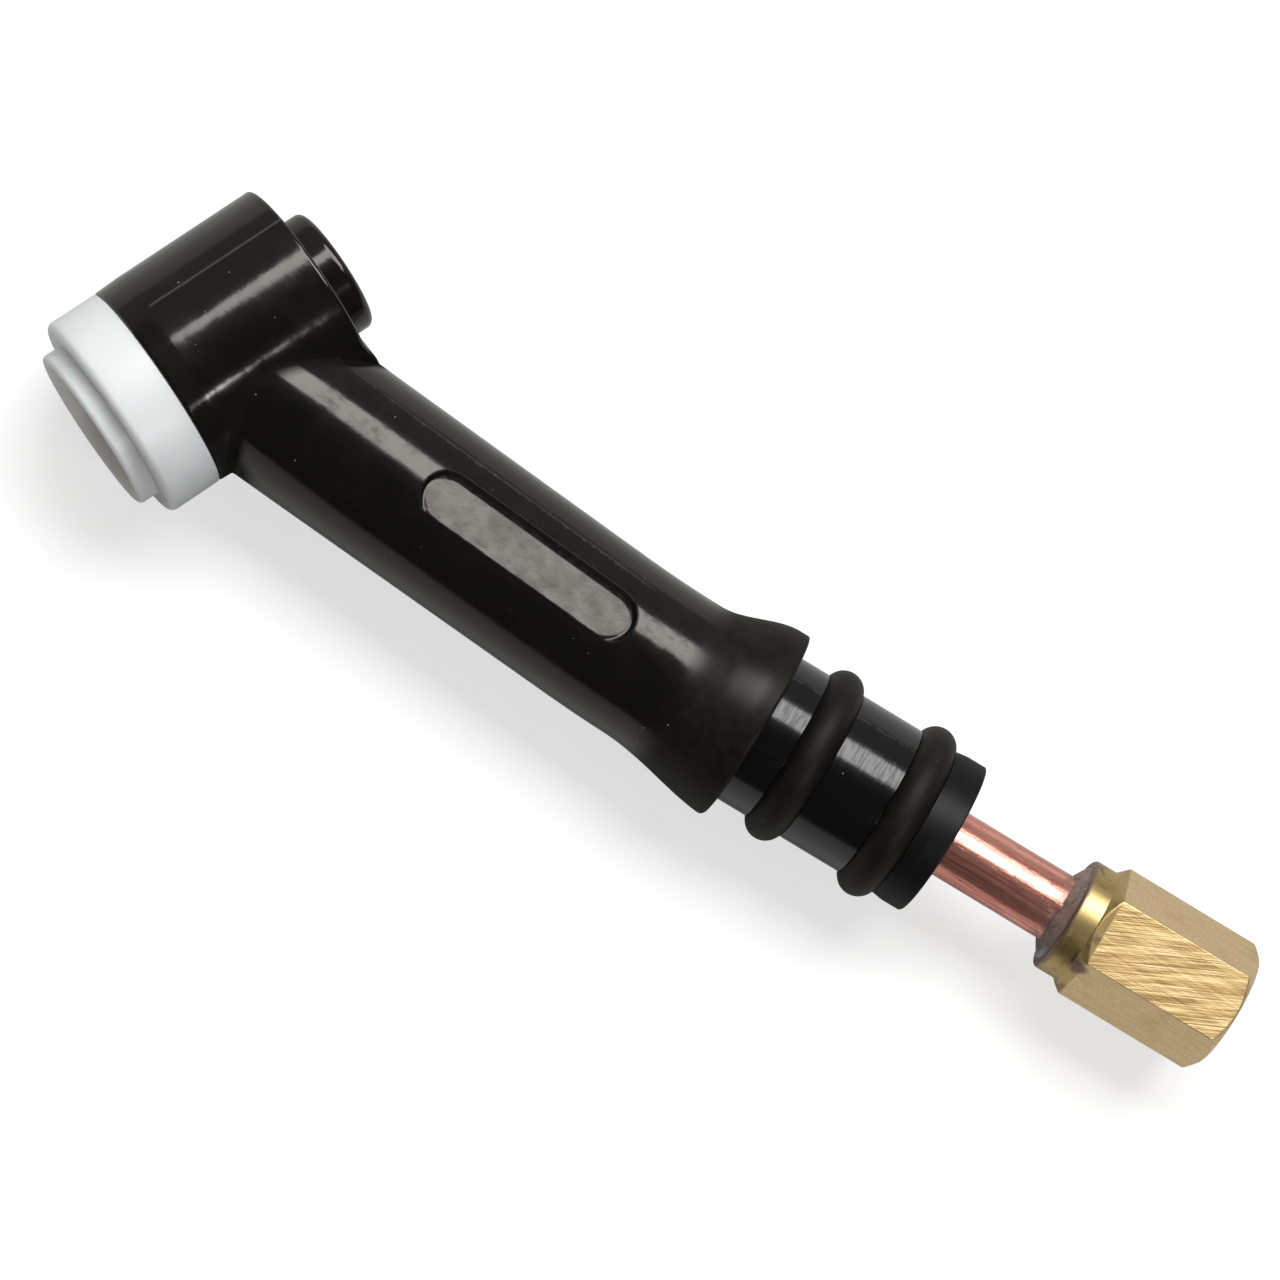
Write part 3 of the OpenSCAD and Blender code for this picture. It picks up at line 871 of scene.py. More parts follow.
def silicone():
    """Satin moulded silicone with dust, matt on the bell, the barrel's front and in corners."""
    look, made, place = begin("silicone", rest_place)
    neck_height, neck_angle = along_line(place, NECK)
    bell = place.part(0).between(*BELL_BLEND)
    on_head = neck_height.between(*HEAD_BLEND)
    flat, wall = [mask * (1 - on_head) for mask in recess_masks(neck_height, neck_angle)]
    mottle = place.noise(0.35, 3.0, 0.55)
    waves = place.noise(0.9, 2.0, 0.5)
    smears = place.noise(0.55, 3.0, 0.5)
    cloth = place.noise(1.3, 4.0, 0.55)
    dust = rubber_dust(place)
    seam, neck_seam = rubber_seams(place, on_head)
    film = mottle.between(0.45, 0.75) * 0.005 + bell * waves.between(0.3, 0.7) * 0.009
    bloom = flat * cloth.between(0.35, 0.7) * 0.03
    dusty = (film, dust * 0.5, neck_seam * 0.03 + seam * 0.11, bloom)
    base = laid_over(look.rubber, *[(amount, look.dust) for amount in dusty])
    rough = (1 - look.rubber_gloss) + bell * (look.rubber_gloss - look.bell_gloss)
    rough = rough + (mottle - 0.5) * 0.10 + (waves - 0.5) * 0.06 - on_head * 0.02
    rough = rough + flat * (0.05 + smears * 0.16) + dust * 0.3 + seam * 0.1
    height = mottle * 1.6 + waves * 0.5 + dust * 1.5 + neck_seam * 1.2
    height = height + flat * (smears * 7.0 + cloth * 1.8)
    matt = matt_rubber(place, bell, on_head, flat, wall, smears)
    tint = (1.0, 0.94, 0.88, 1.0)
    return surface(made, base, rough, height, 0.012, matt, ior=1.46, specular_tint=tint)


def hard_plug():
    """Glossy hard plastic with fine turning marks and scuffs."""
    look, made, place = begin("plug")
    angle = along_line(place, TAIL)[1]
    marks = place.grain((6.5, 0.4, 0.4), 1.0)
    mottle = place.noise(0.5, 2.0)
    scuff = place.grain((0.5, 2.2, 2.2), 4.0, 0.7).between(0.62, 0.78)
    dust = specks(place, 0.5, 0.09, 0.22)
    seam = angle.near(PLUG_SEAM_ANGLE, 0.6, 1.8) * place.noise(1.6, 3.0).between(0.42, 0.6)
    lip = place.part(0).between(*PLUG_LIP_BLEND)
    hairs = place.grain((3.4, 0.45, 0.45), 2.0, 0.7).between(0.44, 0.62)
    hairs = hairs * angle.near(0, 24.0, 32.0)
    base = (dust * 0.5 + scuff * 0.02).mix(look.plug, look.dust)
    rough = 0.12 + mottle * 0.05 + scuff * 0.12 + dust * 0.3 + seam * 0.2 + lip * 0.27
    height = marks * 2.0 + mottle + scuff * 0.4 + seam * 3.0 + dust
    matt = (lip * 0.7).most(hairs * 0.38)
    return surface(made, base, rough, height, 0.008, matt, ior=1.5)


def ring_rubber():
    """Matt O-ring rubber with a dusty bloom."""
    look, made, place = begin("ring")
    bloom = place.noise(0.8, 4.0, 0.6)
    dust = specks(place, 0.7, 0.08, 0.28)
    base = (bloom.between(0.4, 0.75) * 0.008 + dust * 0.5).mix(look.ring, look.dust)
    rough = 0.46 + bloom * 0.16 + dust * 0.2
    height = bloom * 1.5 + place.noise(7.0, 2.0) * 0.6 + dust
    dull = {"ior": 1.42, "specular_tint": (1.0, 0.92, 0.84, 1.0), "specular_ior_level": 0.25}
    return surface(made, base, rough, height, 0.014, **dull)


def white_insulator():
    """Turned white insulator: smooth, with faint lathe rings, painted shade towards the neck's side and painted
    light in the bore.
    """
    look, made, place = begin("ptfe")
    offset = place.offset(HEAD.origin)
    rings = offset.along(HEAD.along).rings(5.0)
    cloud = place.noise(0.25, 3.0)
    painted_shade_tone, bore_painted_light = (0.645, 0.645, 0.655), (0.94, 0.925, 0.91)
    # Painted shade: a greyer tone grows towards the neck's side. Painted light: a whiter tone brightens the bore.
    base = laid_over(
        look.ptfe,
        (offset.along(HEAD.side).between(-6.0, 11.0) * 0.75 + cloud * 0.25, painted_shade_tone),
        (from_line(place, HEAD).until(GASKET_BORE_R + 0.05, GASKET_BORE_R + 0.25), bore_painted_light),
    )
    rough = 0.26 + cloud * 0.08 + rings * 0.05
    soft = {"subsurface_weight": 0.8, "subsurface_scale": 2.2 * MM}
    soft["subsurface_radius"] = (1.0, 0.86, 0.9)
    return surface(made, base, rough, rings * 0.6 + cloud, 0.006, ior=1.38, **soft)


def drawn_copper():
    """Drawn copper: lengthwise streaks, tarnish and small stains, over bright metal."""
    look, made, place = begin("copper")
    streak = place.grain((0.10, 3.2, 3.2), 4.0, 0.65)
    fine = place.grain((0.25, 14.0, 14.0))
    tarnish = place.grain((0.35, 0.8, 0.8), 5.0, 0.65)
    stain = specks(place, 0.42, 0.35, 0.22) * place.noise(3.0, 3.0).between(0.4, 0.62)
    stain = stain.most(specks(place, 1.3, 0.12, 0.25))
    spill = place.part(0).between(NUT_START - 2.6, NUT_START - 0.9)
    spill = spill * place.noise(1.0, 5.0, 0.7).between(0.40, 0.54)
    dark, brown = (0.45, 0.12, 0.10), (0.09, 0.05, 0.04)
    base = laid_over(
        look.copper,
        (streak.between(0.44, 0.66) * 0.8, dark),
        (tarnish.between(0.50, 0.66) * 0.55, dark),
        (fine.between(0.5, 0.75) * 0.3, dark),
        (spill * 0.8, look.braze),
        (stain * 0.85, brown),
    )
    rough = 0.13 + tarnish * 0.12 + streak * 0.08 + stain * 0.25 + spill * 0.2
    height = streak * 1.4 + fine * 0.8 + stain * 0.8 + tarnish * 3.0
    return surface(made, base, rough, height, 0.010, metallic=0.92)


def grey_braze():
    """Dull oxidised braze, lumpy, with darker scale and a painted bluish highlight on its lower side near the rim.
    """
    look, made, place = begin("braze")
    lumps = place.noise(1.3, 5.0, 0.7)
    scale = place.noise(4.0, 3.0, 0.6)
    low = (place.part(1) * 0.8 + place.part(2) * 0.6).until(-3.4, -0.9)
    rim = from_line(place, TAIL).near(4.5, 0.15, 0.5)
    scorched, ash, painted_glint = (0.09, 0.06, 0.05), (0.42, 0.35, 0.30), (0.52, 0.60, 0.68)
    # Painted highlight: a bluish glint on the lower side, near the fillet's rim.
    base = laid_over(
        look.braze,
        (lumps.between(0.48, 0.66) * 0.7, scorched),
        (scale.between(0.5, 0.7) * 0.5, ash),
        (low * rim * scale.between(0.30, 0.5) * 0.9, painted_glint),
    )
    return surface(made, base, 0.42 + scale * 0.25, lumps * 3.0 + scale, 0.03, metallic=0.35)


def nut_scratches(place, hex_start):
    """Slanting scratches on the nut's upper flat, with a few along it."""
    run = place.part(0) - (hex_start + 3.0)
    across = place.part(1) * 0.93 - run * 0.43
    fan = place.make("ShaderNodeCombineXYZ", None, {0: run * 0.12, 1: across * 8.0})
    coarse = fan.noise(1.0, 2.0, 0.75) * 0.75 + place.grain((0.12, 8.0, 1.0), 2.0, 0.75) * 0.25
    return coarse * 0.75 + fan.grain((1.2, 0.14, 1.0), 3.0, 0.6) * 0.25


def nut_brass():
    """Brass nut: slanting scratches on the upper flat, partly painted highlight, a painted reflection tone on the
    side flats, fine grain elsewhere, burnt collar.
    """
    look, made, place = begin("nut")
    x = place.part(0)
    hex_start = NUT_START + sizes().nut_collar_len + sizes().nut_cone_len
    on_hex = x.between(hex_start - 0.1, hex_start + 0.1)
    turned = 1 - on_hex
    normal = place.make("ShaderNodeNewGeometry", output=1)
    upper = abs(normal.part(2)).between(0.90, 0.97) * on_hex
    side = (1 - upper) * on_hex
    scratches = nut_scratches(place, hex_start)
    lengthwise = place.grain((0.18, 6.0, 6.0), 4.0, 0.7)
    lathe_marks = place.grain((9.0, 0.3, 0.3), 3.0, 0.7)
    pits = place.noise(4.0, 3.0, 0.7)
    mottle = place.noise(0.45, 4.0, 0.6)
    burnt = (x + (mottle - 0.5) * 1.2).until(NUT_START + 0.05, NUT_START + 0.5)
    stain_at = (hex_start - 0.4, -4.0, 3.9)
    stain = place.offset(stain_at).size()
    stain = (stain + (mottle - 0.5) * 1.6).until(0.6, 1.3)
    stained = (mottle.between(0.50, 0.64) * turned * 0.65).most(stain * 0.9)
    # The upper flat's pale strokes are partly real scratches and partly a painted highlight. The side flats'
    # lighter tan is a painted reflection of the floor.
    pale, dark, side_flat_reflection = (0.92, 0.74, 0.43), (0.29, 0.18, 0.07), (0.84, 0.64, 0.37)
    brown, olive, soot = (0.46, 0.30, 0.13), (0.36, 0.27, 0.10), (0.17, 0.10, 0.085)
    base = laid_over(
        look.brass,
        (scratches.between(0.52, 0.57) * upper, pale),
        (scratches.until(0.43, 0.51) * upper * 0.95, dark),
        (side * 0.8, side_flat_reflection),
        (lengthwise.between(0.45, 0.75) * side * 0.35, dark),
        (pits.between(0.48, 0.66) * side * 0.22, dark),
        (mottle.between(0.5, 0.8) * 0.35, brown),
        (turned * 0.55, olive),
        (stained, soot),
        (burnt * 0.9, look.braze),
    )
    height = scratches * upper * 2.2 + lengthwise * side * 0.9 + lathe_marks * turned * 1.3
    rough = 0.36 + mottle * 0.12 + burnt * 0.12 + upper * 0.10 - turned * 0.06
    return surface(made, base, rough, height, 0.012, metallic=1.0)


def turned_brass():
    """Clean turned brass of the head's core."""
    look, made, place = begin("core")
    rings = place.offset(HEAD.origin).along(HEAD.along).rings(6.0)
    mottle = place.noise(0.6, 4.0, 0.6)
    base = (mottle.between(0.4, 0.8) * 0.4).mix(look.brass, (0.45, 0.30, 0.13))
    return surface(made, base, 0.26 + mottle * 0.12, rings * 1.2 + mottle, 0.008, metallic=1.0)


def copper_braid():
    """Braid of fine copper wire: crossing strands as colour and bump."""
    _, made, place = begin("braid")
    height, angle = along_line(place, NECK)
    rise, turn = height * 3.2, angle * 0.28
    first, second = [way.maths("SINE", way) for way in (rise + turn, rise - turn)]
    weave = first.most(second)
    base = weave.between(0.2, 0.9).mix((0.30, 0.11, 0.07), (0.85, 0.45, 0.32))
    return surface(made, base, 0.42 - weave * 0.1, weave * 4.0, 0.03, metallic=1.0)


def gas_hose():
    """Pale gas tube."""
    _, made, place = begin("hose")
    cloud = place.noise(0.7, 3.0)
    base = cloud.mix((0.78, 0.77, 0.70), (0.62, 0.60, 0.52))
    return surface(made, base, 0.35 + cloud * 0.2, cloud, 0.01)


MATERIALS = {
    "silicone": silicone,
    "plug": hard_plug,
    "ring": ring_rubber,
    "ptfe": white_insulator,
    "copper": drawn_copper,
    "braze": grey_braze,
    "nut": nut_brass,
    "core": turned_brass,
    "braid": copper_braid,
    "hose": gas_hose,
}


def material(name):
    """The named finish, made when it is first asked for."""
    return bpy.data.materials.get("finish_" + name) or MATERIALS[name]()


# Pieces: rubber


def centreline(u):
    """Points and directions of the neck's axis, which turns gently round the rear station."""
    start = BEND + HALF * TAIL.along
    end = BEND + HALF * NECK.along
    part = np.clip((u + HALF) / PITCH, 0, 1)[..., None]
    point = (1 - part) ** 2 * start + 2 * part * (1 - part) * BEND + part**2 * end
    along = (1 - part) * (BEND - start) + part * (end - BEND)
    along = along / np.linalg.norm(along, axis=-1, keepdims=True)
    beyond = (u - np.clip(u, -HALF, HALF))[..., None]
    return point + beyond * along, along


def neck_radius(u, angle):
    """Outer radius of the neck's skin: flare, flat recess and moulding seams."""
    s = sizes()
    lean = np.sin(angle)
    flare = 1 - smoothstep(0.2 + 0.8 * lean, s.flare_len - 1.5 * lean, u + BELL_LEN)
    radius = neck_base_radius(u) + (s.bell_d / 2 - s.neck_bell_d / 2) * flare
    seam_width, seam_height = 0.22, 0.035
    off_seam = np.abs(np.abs(angle_about(angle, 0)) - math.radians(NECK_SEAM_ANGLE)) * radius
    seam = np.clip(1 - off_seam / seam_width, 0, 1)
    seam = seam * smoothstep(1, 6, u) * (1 - smoothstep(26, 33, u))
    radius = (radius + seam_height * seam) / np.hypot(lean, np.cos(angle) / root_swell(u))

    psi = angle_about(angle, FLAT_MIDDLE)
    open_side = FLAT_FACES - FLAT_MIDDLE + np.arcsin(s.flat_w / 2 / radius)
    floor_radius = radius * np.cos(open_side) / np.maximum(np.cos(angle - FLAT_FACES), 0.1)
    half_w = s.flat_w / 2 + FLAT_SPARE
    centre = s.flat_start + s.flat_len / 2
    past_straight = np.maximum(np.abs(u - centre) - (s.flat_len / 2 - half_w), 0)
    aside = radius * np.sin(psi) + FLAT_SPARE
    inside = half_w - np.hypot(past_straight, aside)
    at_side = np.clip(aside / half_w, 0, 1) ** 2 * (past_straight < half_w / 2)
    wall = 0.30 + 0.65 * at_side  # width of the recess's wall, greater on one side
    sunk = (1 - (1 - np.clip(inside / wall, 0, 1)) ** 2) * (np.cos(psi) > 0)
    return radius + np.minimum(floor_radius - radius, 0) * sunk


def angle_about(angle, middle):
    """Angles measured from a middle, from minus half a turn to half a turn."""
    return (angle - middle + math.pi) % TAU - math.pi


def tube_points(u, angle, radius):
    """Points round the neck's axis."""
    point, along = centreline(u)
    return round_axis(point, np.cross(along, UP), radius, angle)


def neck_section(index):
    """One section of the neck's skin, from one station to the next."""
    low = index * PITCH - HALF
    high = low + PITCH
    outer_u = np.linspace(low, high, round(PITCH / SKIN_SPACING) + 1)
    inner_u = np.linspace(high, low, 13)
    u = np.concatenate([outer_u, inner_u])[:, None]
    u, angle = np.broadcast_arrays(u, angles(SKIN_COLUMNS))
    radius = neck_radius(u, angle)
    radius[len(outer_u) :] = sizes().neck_bore_d / 2
    points = tube_points(u, angle, radius)
    faces = ring_faces(len(u), SKIN_COLUMNS)
    piece = solid(f"neck_skin_{len(SKIN_BODIES) - 1 - index}", points, faces, "silicone")
    return piece, centreline(np.array(low))[0] * MM, centreline(np.array(high))[0] * MM


def bell_skin():
    """The flared rear end of the rubber, with the seat for the plug."""
    s = sizes()
    outer_x = np.concatenate([np.linspace(HALF - BELL_LEN, -1.2, 48), np.linspace(-1.1, 0, 23)])
    angle = angles(SKIN_COLUMNS)
    x = outer_x[:, None] + 0 * angle
    radius = ease_end(neck_radius(-x - BELL_LEN, angle + 0 * x), angle, x, 0, 0.35)
    plug, spigot, bore = s.plug_d / 2 + s.clearance, s.spigot_d / 2 + s.clearance, s.neck_bore_d / 2
    spigot_end = -s.spigot_len - s.clearance
    seat = [(plug, 0), (plug, -s.plug_set), (spigot, -s.plug_set), (spigot, spigot_end)]
    seat = np.array(seat + [(bore, spigot_end), (bore, HALF - BELL_LEN)])
    radius = np.concatenate([radius, seat[:, :1] + 0 * angle])
    x = np.concatenate([x, seat[:, 1:] + 0 * angle])
    faces = ring_faces(len(x), SKIN_COLUMNS)
    return solid("bell_skin", TAIL.place(radius, angle, x), faces, "silicone")


def head_skin():
    """The rubber moulded over the head: barrel, collar and the root of the neck in one form."""
    points, faces = grid_surface(head_form, *HEAD_GRID, HEAD_CELL)
    points = settle(head_form, relax(settle(head_form, points), faces))
    cut = (BEND + SKIN_END * NECK.along, -NECK.along)
    piece = solid("head_skin", HEAD.world(points), faces, "silicone", 50, cut)
    form_normals(piece, head_form, HEAD)
    return piece


# Pieces: turned and hexagonal


def insulator_ring():
    """The white gasket in two steps."""
    s = sizes()
    bore, narrow, wide = GASKET_BORE_R, NOZZLE_SEAT_R, s.barrel_d / 2 - GASKET_PLAY
    front = NOSE_END - GASKET_REACH
    step, seat = front + GASKET_STEP, -s.barrel_front - GASKET_PLAY
    rear = s.lip_depth - s.barrel_front - GASKET_PLAY
    tail = s.barrel_d / 2 - s.lip_wall - GASKET_PLAY
    corners = [(bore, rear, 0.15), (bore, front, 0.25), (narrow, front, 0.4)]
    corners += [(narrow, step, 0.12), (wide, step, 0.7), (wide, seat, 0.12)]
    corners += [(tail, seat, 0.05), (tail, rear, 0.2)]
    return lathe("insulator_ring", HEAD, rounded(corners, 8), "ptfe", 256)


def head_core_body():
    """The brass core with its two threads and the nose that carries the insulator."""
    s = sizes()
    crest, depth, lead = CAP_THREAD_CREST_R, CAP_THREAD_LEN, 0.45
    passage, nose = 2.6, 6.57
    core, tail = s.core_d / 2, s.core_tail_d / 2
    lip_floor = s.lip_depth - s.barrel_front
    rows = int(depth / s.thread_pitch * THREAD_ROWS)
    collet_end, cap_end = NOSE_END + depth, CORE_END - depth
    outer = [(crest + lead, NOSE_END, 0.05), (nose, NOSE_END, 0.4), (nose, lip_floor, 0)]
    outer += [(core, lip_floor, 0.1), (core, s.core_step, 0.3), (tail, s.core_step, 0.1)]
    outer += [(tail, CORE_END, 0.3), (crest + lead, CORE_END, 0.05)]
    profile = rounded(outer, 4) + [(crest, CORE_END - lead)]
    profile += stretch((crest, CORE_END - lead), (crest, cap_end), rows)
    profile += [(crest, cap_end), (passage, cap_end), (passage, collet_end), (crest, collet_end)]
    profile += stretch((crest, collet_end), (crest, NOSE_END + lead), rows)
    profile += [(crest, NOSE_END + lead)]
    form = (crest, s.cap_thread_d / 2, s.thread_pitch)
    cap = internal_thread(*form, cap_end, CORE_END)
    collet = internal_thread(*form, NOSE_END, collet_end)

    def both(radius, angle, height):
        return collet(*np.broadcast_arrays(cap(radius, angle, height)[0], angle, height))

    return lathe("head_core_body", HEAD, profile, "core", 144, both)


def plug_body():
    """The hard plug with its two O-ring grooves and the low lip round its end."""
    s = sizes()
    lip_rise, chamfer, groove_fit = 0.15, 0.35, 0.04
    lip_start, lip_top, wear = s.plug_len - 2.9, s.plug_len - 1.9, 0.18
    radius, lip, spigot = s.plug_d / 2, s.plug_d / 2 + lip_rise, s.spigot_d / 2
    floor = s.ring_outer_d / 2 - s.ring_section - groove_fit
    half = s.ring_section / 2 - groove_fit
    ferrule = s.ferrule_d / 2 + s.clearance
    tube = s.tube_d / 2 + s.clearance
    corners = [(spigot, -s.spigot_len, 0.2), (spigot, -s.plug_set, 0), (radius, -s.plug_set, 0.1)]
    for centre in ring_places():
        corners += [(radius, centre - half, 0.07), (floor, centre - half, 0.3)]
        corners += [(floor, centre + half, 0.3), (radius, centre + half, 0.07)]
    corners += [(radius, lip_start, 0.8), (lip, lip_top, 0.8)]
    corners += [(lip, s.plug_len - 0.5 + 0.05 * step, 0) for step in range(11)]
    corners += [(tube + chamfer, s.plug_len, 0.2), (tube, s.plug_len - chamfer, 0)]
    corners += [(tube, FERRULE_END, 0), (ferrule, FERRULE_END, 0), (ferrule, -s.spigot_len, 0.1)]

    def worn(radius, angle, height):
        eased = ease_end(radius, angle, height, s.plug_len, wear)
        return np.where(radius > tube + 0.6, eased, radius), height

    return lathe("plug_body", TAIL, rounded(corners, 5), "plug", 224, worn)


def ease_end(radius, angle, height, end, ease):
    """Radius eased towards a rear end, more on the side away from the back cap."""
    ease = ease * (1 - 0.6 * np.sin(angle))
    into = np.clip(height - end + ease, 0, ease)
    return radius - (ease - np.sqrt(ease**2 - into**2))


def ring_places():
    """Centres of the two O-rings along the tail, in millimetres."""
    boxes = [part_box(name) for name in RING_NODES]
    return [(low[0] + high[0]) / 2 / MM for low, high in boxes]


def hexagon(across, ease, turn):
    """Angles and radii round a hexagon with eased corners, its first flat turned from up."""
    apothem = across / 2
    flat_end = math.atan((apothem - ease) * math.tan(math.pi / 6) / apothem)
    centre = (apothem - ease) / math.cos(math.pi / 6)
    near = math.radians(0.35)
    flat = np.concatenate([[-flat_end], np.linspace(near - flat_end, flat_end - near, 19)])
    flat = np.append(flat, flat_end)
    corner = np.linspace(flat_end, math.pi / 3 - flat_end, 7)[1:-1]
    off = corner - math.pi / 6
    corner_r = centre * np.cos(off) + np.sqrt(ease**2 - (centre * np.sin(off)) ** 2)
    angle = np.concatenate([np.concatenate([flat, corner]) + k * math.pi / 3 for k in range(6)])
    radius = np.tile(np.concatenate([apothem / np.cos(flat), corner_r]), 6)
    return (angle + turn)[None, :], radius[None, :]


def nut_outside(hex_r):
    """Radius and height of each row over the nut's collar, cone, hexagon and chamfer."""
    s = sizes()
    ease, rim, face_inset, margin = 0.06, 0.35, 0.2, 0.2
    collar, face_r = s.nut_collar_d / 2, s.nut_af / 2 - face_inset
    corner = s.nut_af / 2 / math.cos(math.pi / 6)
    cone, mouth = NUT_START + s.nut_collar_len, NUT_END - s.nut_worn
    cone_slope = s.nut_cone_len / (corner - collar)
    end_slope = s.nut_chamfer / (corner - face_r)
    flat_from = cone + cone_slope * (hex_r - collar)
    flat_to = mouth - end_slope * (hex_r - face_r)
    rows = []
    for turn in np.radians(np.linspace(-90, 0, 6)):
        rows.append((collar + rim * (math.cos(turn) - 1), NUT_START + rim * (math.sin(turn) + 1)))
    rows += [(collar, cone - 0.05), (collar + 0.01, cone + 0.03)]
    rows += [(hex_r - ease, flat_from - cone_slope * ease), (hex_r, flat_from + ease)]
    for part in np.linspace(0, 1, 9):
        rows.append((hex_r, flat_from + margin + (flat_to - flat_from - 2 * margin) * part))
    rows += [(hex_r, flat_to - ease), (hex_r - ease, flat_to + end_slope * ease)]
    return rows + [(face_r + ease, mouth - end_slope * ease), (face_r - ease, mouth)]


def nut_inside(angle):
    """Radius and height of each row through the nut's thread and the seat of the tube."""
    s = sizes()
    crest, depth, lead = CABLE_THREAD_CREST_R, CABLE_THREAD_LEN, 0.55
    mouth, tube = NUT_END - s.nut_worn, s.tube_d / 2 + s.clearance
    thread = internal_thread(crest, s.thread_d / 2, s.thread_pitch, mouth - depth, mouth)
    rows = [(crest + lead, mouth), (crest, mouth - lead)]
    count = int(depth / s.thread_pitch * THREAD_ROWS)
    for step in range(1, count):
        height = mouth - lead - (depth - lead) * step / count
        rows.append((thread(crest + 0 * angle, angle, height + 0 * angle)[0], height))
    tube_end = NUT_START + TUBE_SEAT + s.clearance
    rows += [(crest, mouth - depth), (s.tube_bore_d / 2, mouth - depth)]
    return rows + [(s.tube_bore_d / 2, tube_end), (tube, tube_end), (tube, NUT_START)]


def nut_body():
    """The brass nut: collar, cone and hexagon, chamfered at its threaded mouth."""
    corner_ease, first_flat = 0.14, math.radians(-5)
    angle, hex_r = hexagon(sizes().nut_af, corner_ease, first_flat)
    inside = nut_inside(angle)
    rows = inside[-1:] + nut_outside(hex_r) + inside[:-1]
    radius, height = [np.concatenate([row[k] + 0 * hex_r for row in rows]) for k in (0, 1)]
    points = TAIL.place(radius, angle, height)
    return solid("nut_body", points, ring_faces(len(rows), hex_r.size), "nut", 30)


def wave(angle, counts, seed):
    """A smooth wave round a circle, between about -1 and 1, the same for the same seed."""
    rng = np.random.default_rng(seed)
    phases = rng.uniform(0, TAU, len(counts))
    return sum(np.cos(angle * n + p) for n, p in zip(counts, phases)) / len(counts)


def braze_fillet():
    """The lumpy braze between the tube and the nut, run out over the collar's face."""
    s = sizes()
    gap, foot_rise, foot_reach = 0.02, 0.07, 0.08
    face = NUT_START - gap
    inner = s.tube_d / 2 + s.clearance
    reach, rise = 1.55, 0.9
    profile = [(inner, face)]
    for at in np.linspace(0, math.pi / 2, 15)[:-1]:
        profile.append((inner + reach * math.sin(at) ** 2, face - rise * math.cos(at) ** 2))
    profile += [(inner + reach, face - foot_rise), (inner + reach + foot_reach, face)]

    def lumps(radius, angle, height):
        out = (radius - inner) / reach
        swell = wave(angle, (2, 3, 5, 8), 3) * 0.22 + wave(angle, (11, 17, 23), 5) * 0.06
        raised = np.where(height < face - 1e-6, height + (face - height) * -swell, height)
        return radius + out * swell, raised

    return lathe("braze_fillet", TAIL, profile, "braze", 192, lumps)


def tube_body():
    """The copper tube, with slightly eased ends."""
    s = sizes()
    low, high = [corner[0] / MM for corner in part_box("tail_tube")]
    outer, inner = s.tube_d / 2, s.tube_bore_d / 2
    ease, ripple_depth = 0.15, 0.012
    dent_at, dent_len, dent_depth, dent_angle = 26.0, 2.2, 0.02, 0.9
    corners = [(outer, low, ease), (inner, low, ease), (inner, high, ease), (outer, high, ease)]
    profile = rounded(corners, 4)
    profile += stretch(profile[-1], profile[0], 90)

    def drawn(radius, angle, height):
        ripple = wave(angle + height * 0.01, (2, 5, 7), 8) * ripple_depth
        dent = np.exp(-(((height - dent_at) / dent_len) ** 2)) * dent_depth
        dent = dent * np.cos(angle - dent_angle)
        return radius + np.where(radius > outer - 0.02, ripple - np.maximum(dent, 0), 0), height

    return lathe("tube_body", TAIL, profile, "copper", 128, drawn)


# O-rings by Geometry Nodes


def ring_tree():
    """Node tree that sweeps a slightly uneven O-ring round the tail's axis."""
    tree = bpy.data.node_groups.new("o_ring_sweep", "GeometryNodeTree")
    kinds = dict.fromkeys(("Ring Radius", "Section Radius", "Place", "Unevenness"), "Float")
    kinds.update({"Seed": "Int", "Material": "Material"})
    for name, kind in kinds.items():
        tree.interface.new_socket(name, in_out="INPUT", socket_type="NodeSocket" + kind)
    tree.interface.new_socket("Geometry", in_out="OUTPUT", socket_type="NodeSocketGeometry")
    given = tree.nodes.new("NodeGroupInput").outputs
    ring, section, place, unevenness, seed, look = [Value(tree, given[name]) for name in kinds]
    make = ring.make
    circle, path_points, outline_points = "GeometryNodeCurvePrimitiveCircle", 256, 56
    seed_step, bumps = 7.3, 260.0
    path = make(circle, None, {"Resolution": path_points, "Radius": ring})
    outline = make(circle, None, {"Resolution": outline_points, "Radius": section})
    sweep = make("GeometryNodeCurveToMesh", None, {0: path, 1: outline})
    inputs = {"Vector": make("GeometryNodeInputPosition"), "W": seed * seed_step}
    inputs.update({"Scale": bumps, "Detail": 2.0})
    height = (make("ShaderNodeTexNoise", {"noise_dimensions": "4D"}, inputs) - 0.5) * unevenness
    inputs = {0: make("GeometryNodeInputNormal"), "Scale": height}
    offset = make("ShaderNodeVectorMath", {"operation": "SCALE"}, inputs)
    uneven = make("GeometryNodeSetPosition", None, {"Geometry": sweep, "Offset": offset})
    inputs = {"Geometry": uneven, "Translation": make("ShaderNodeCombineXYZ", None, {0: place})}
    inputs["Rotation"] = (0, math.pi / 2, 0)
    moved = make("GeometryNodeTransform", None, inputs)
    smooth = make("GeometryNodeSetShadeSmooth", None, {0: moved})
    real = make("GeometryNodeRealizeInstances", None, {0: smooth})
    done = make("GeometryNodeSetMaterial", None, {0: real, "Material": look})
    make("NodeGroupOutput", None, {0: done})
    return tree


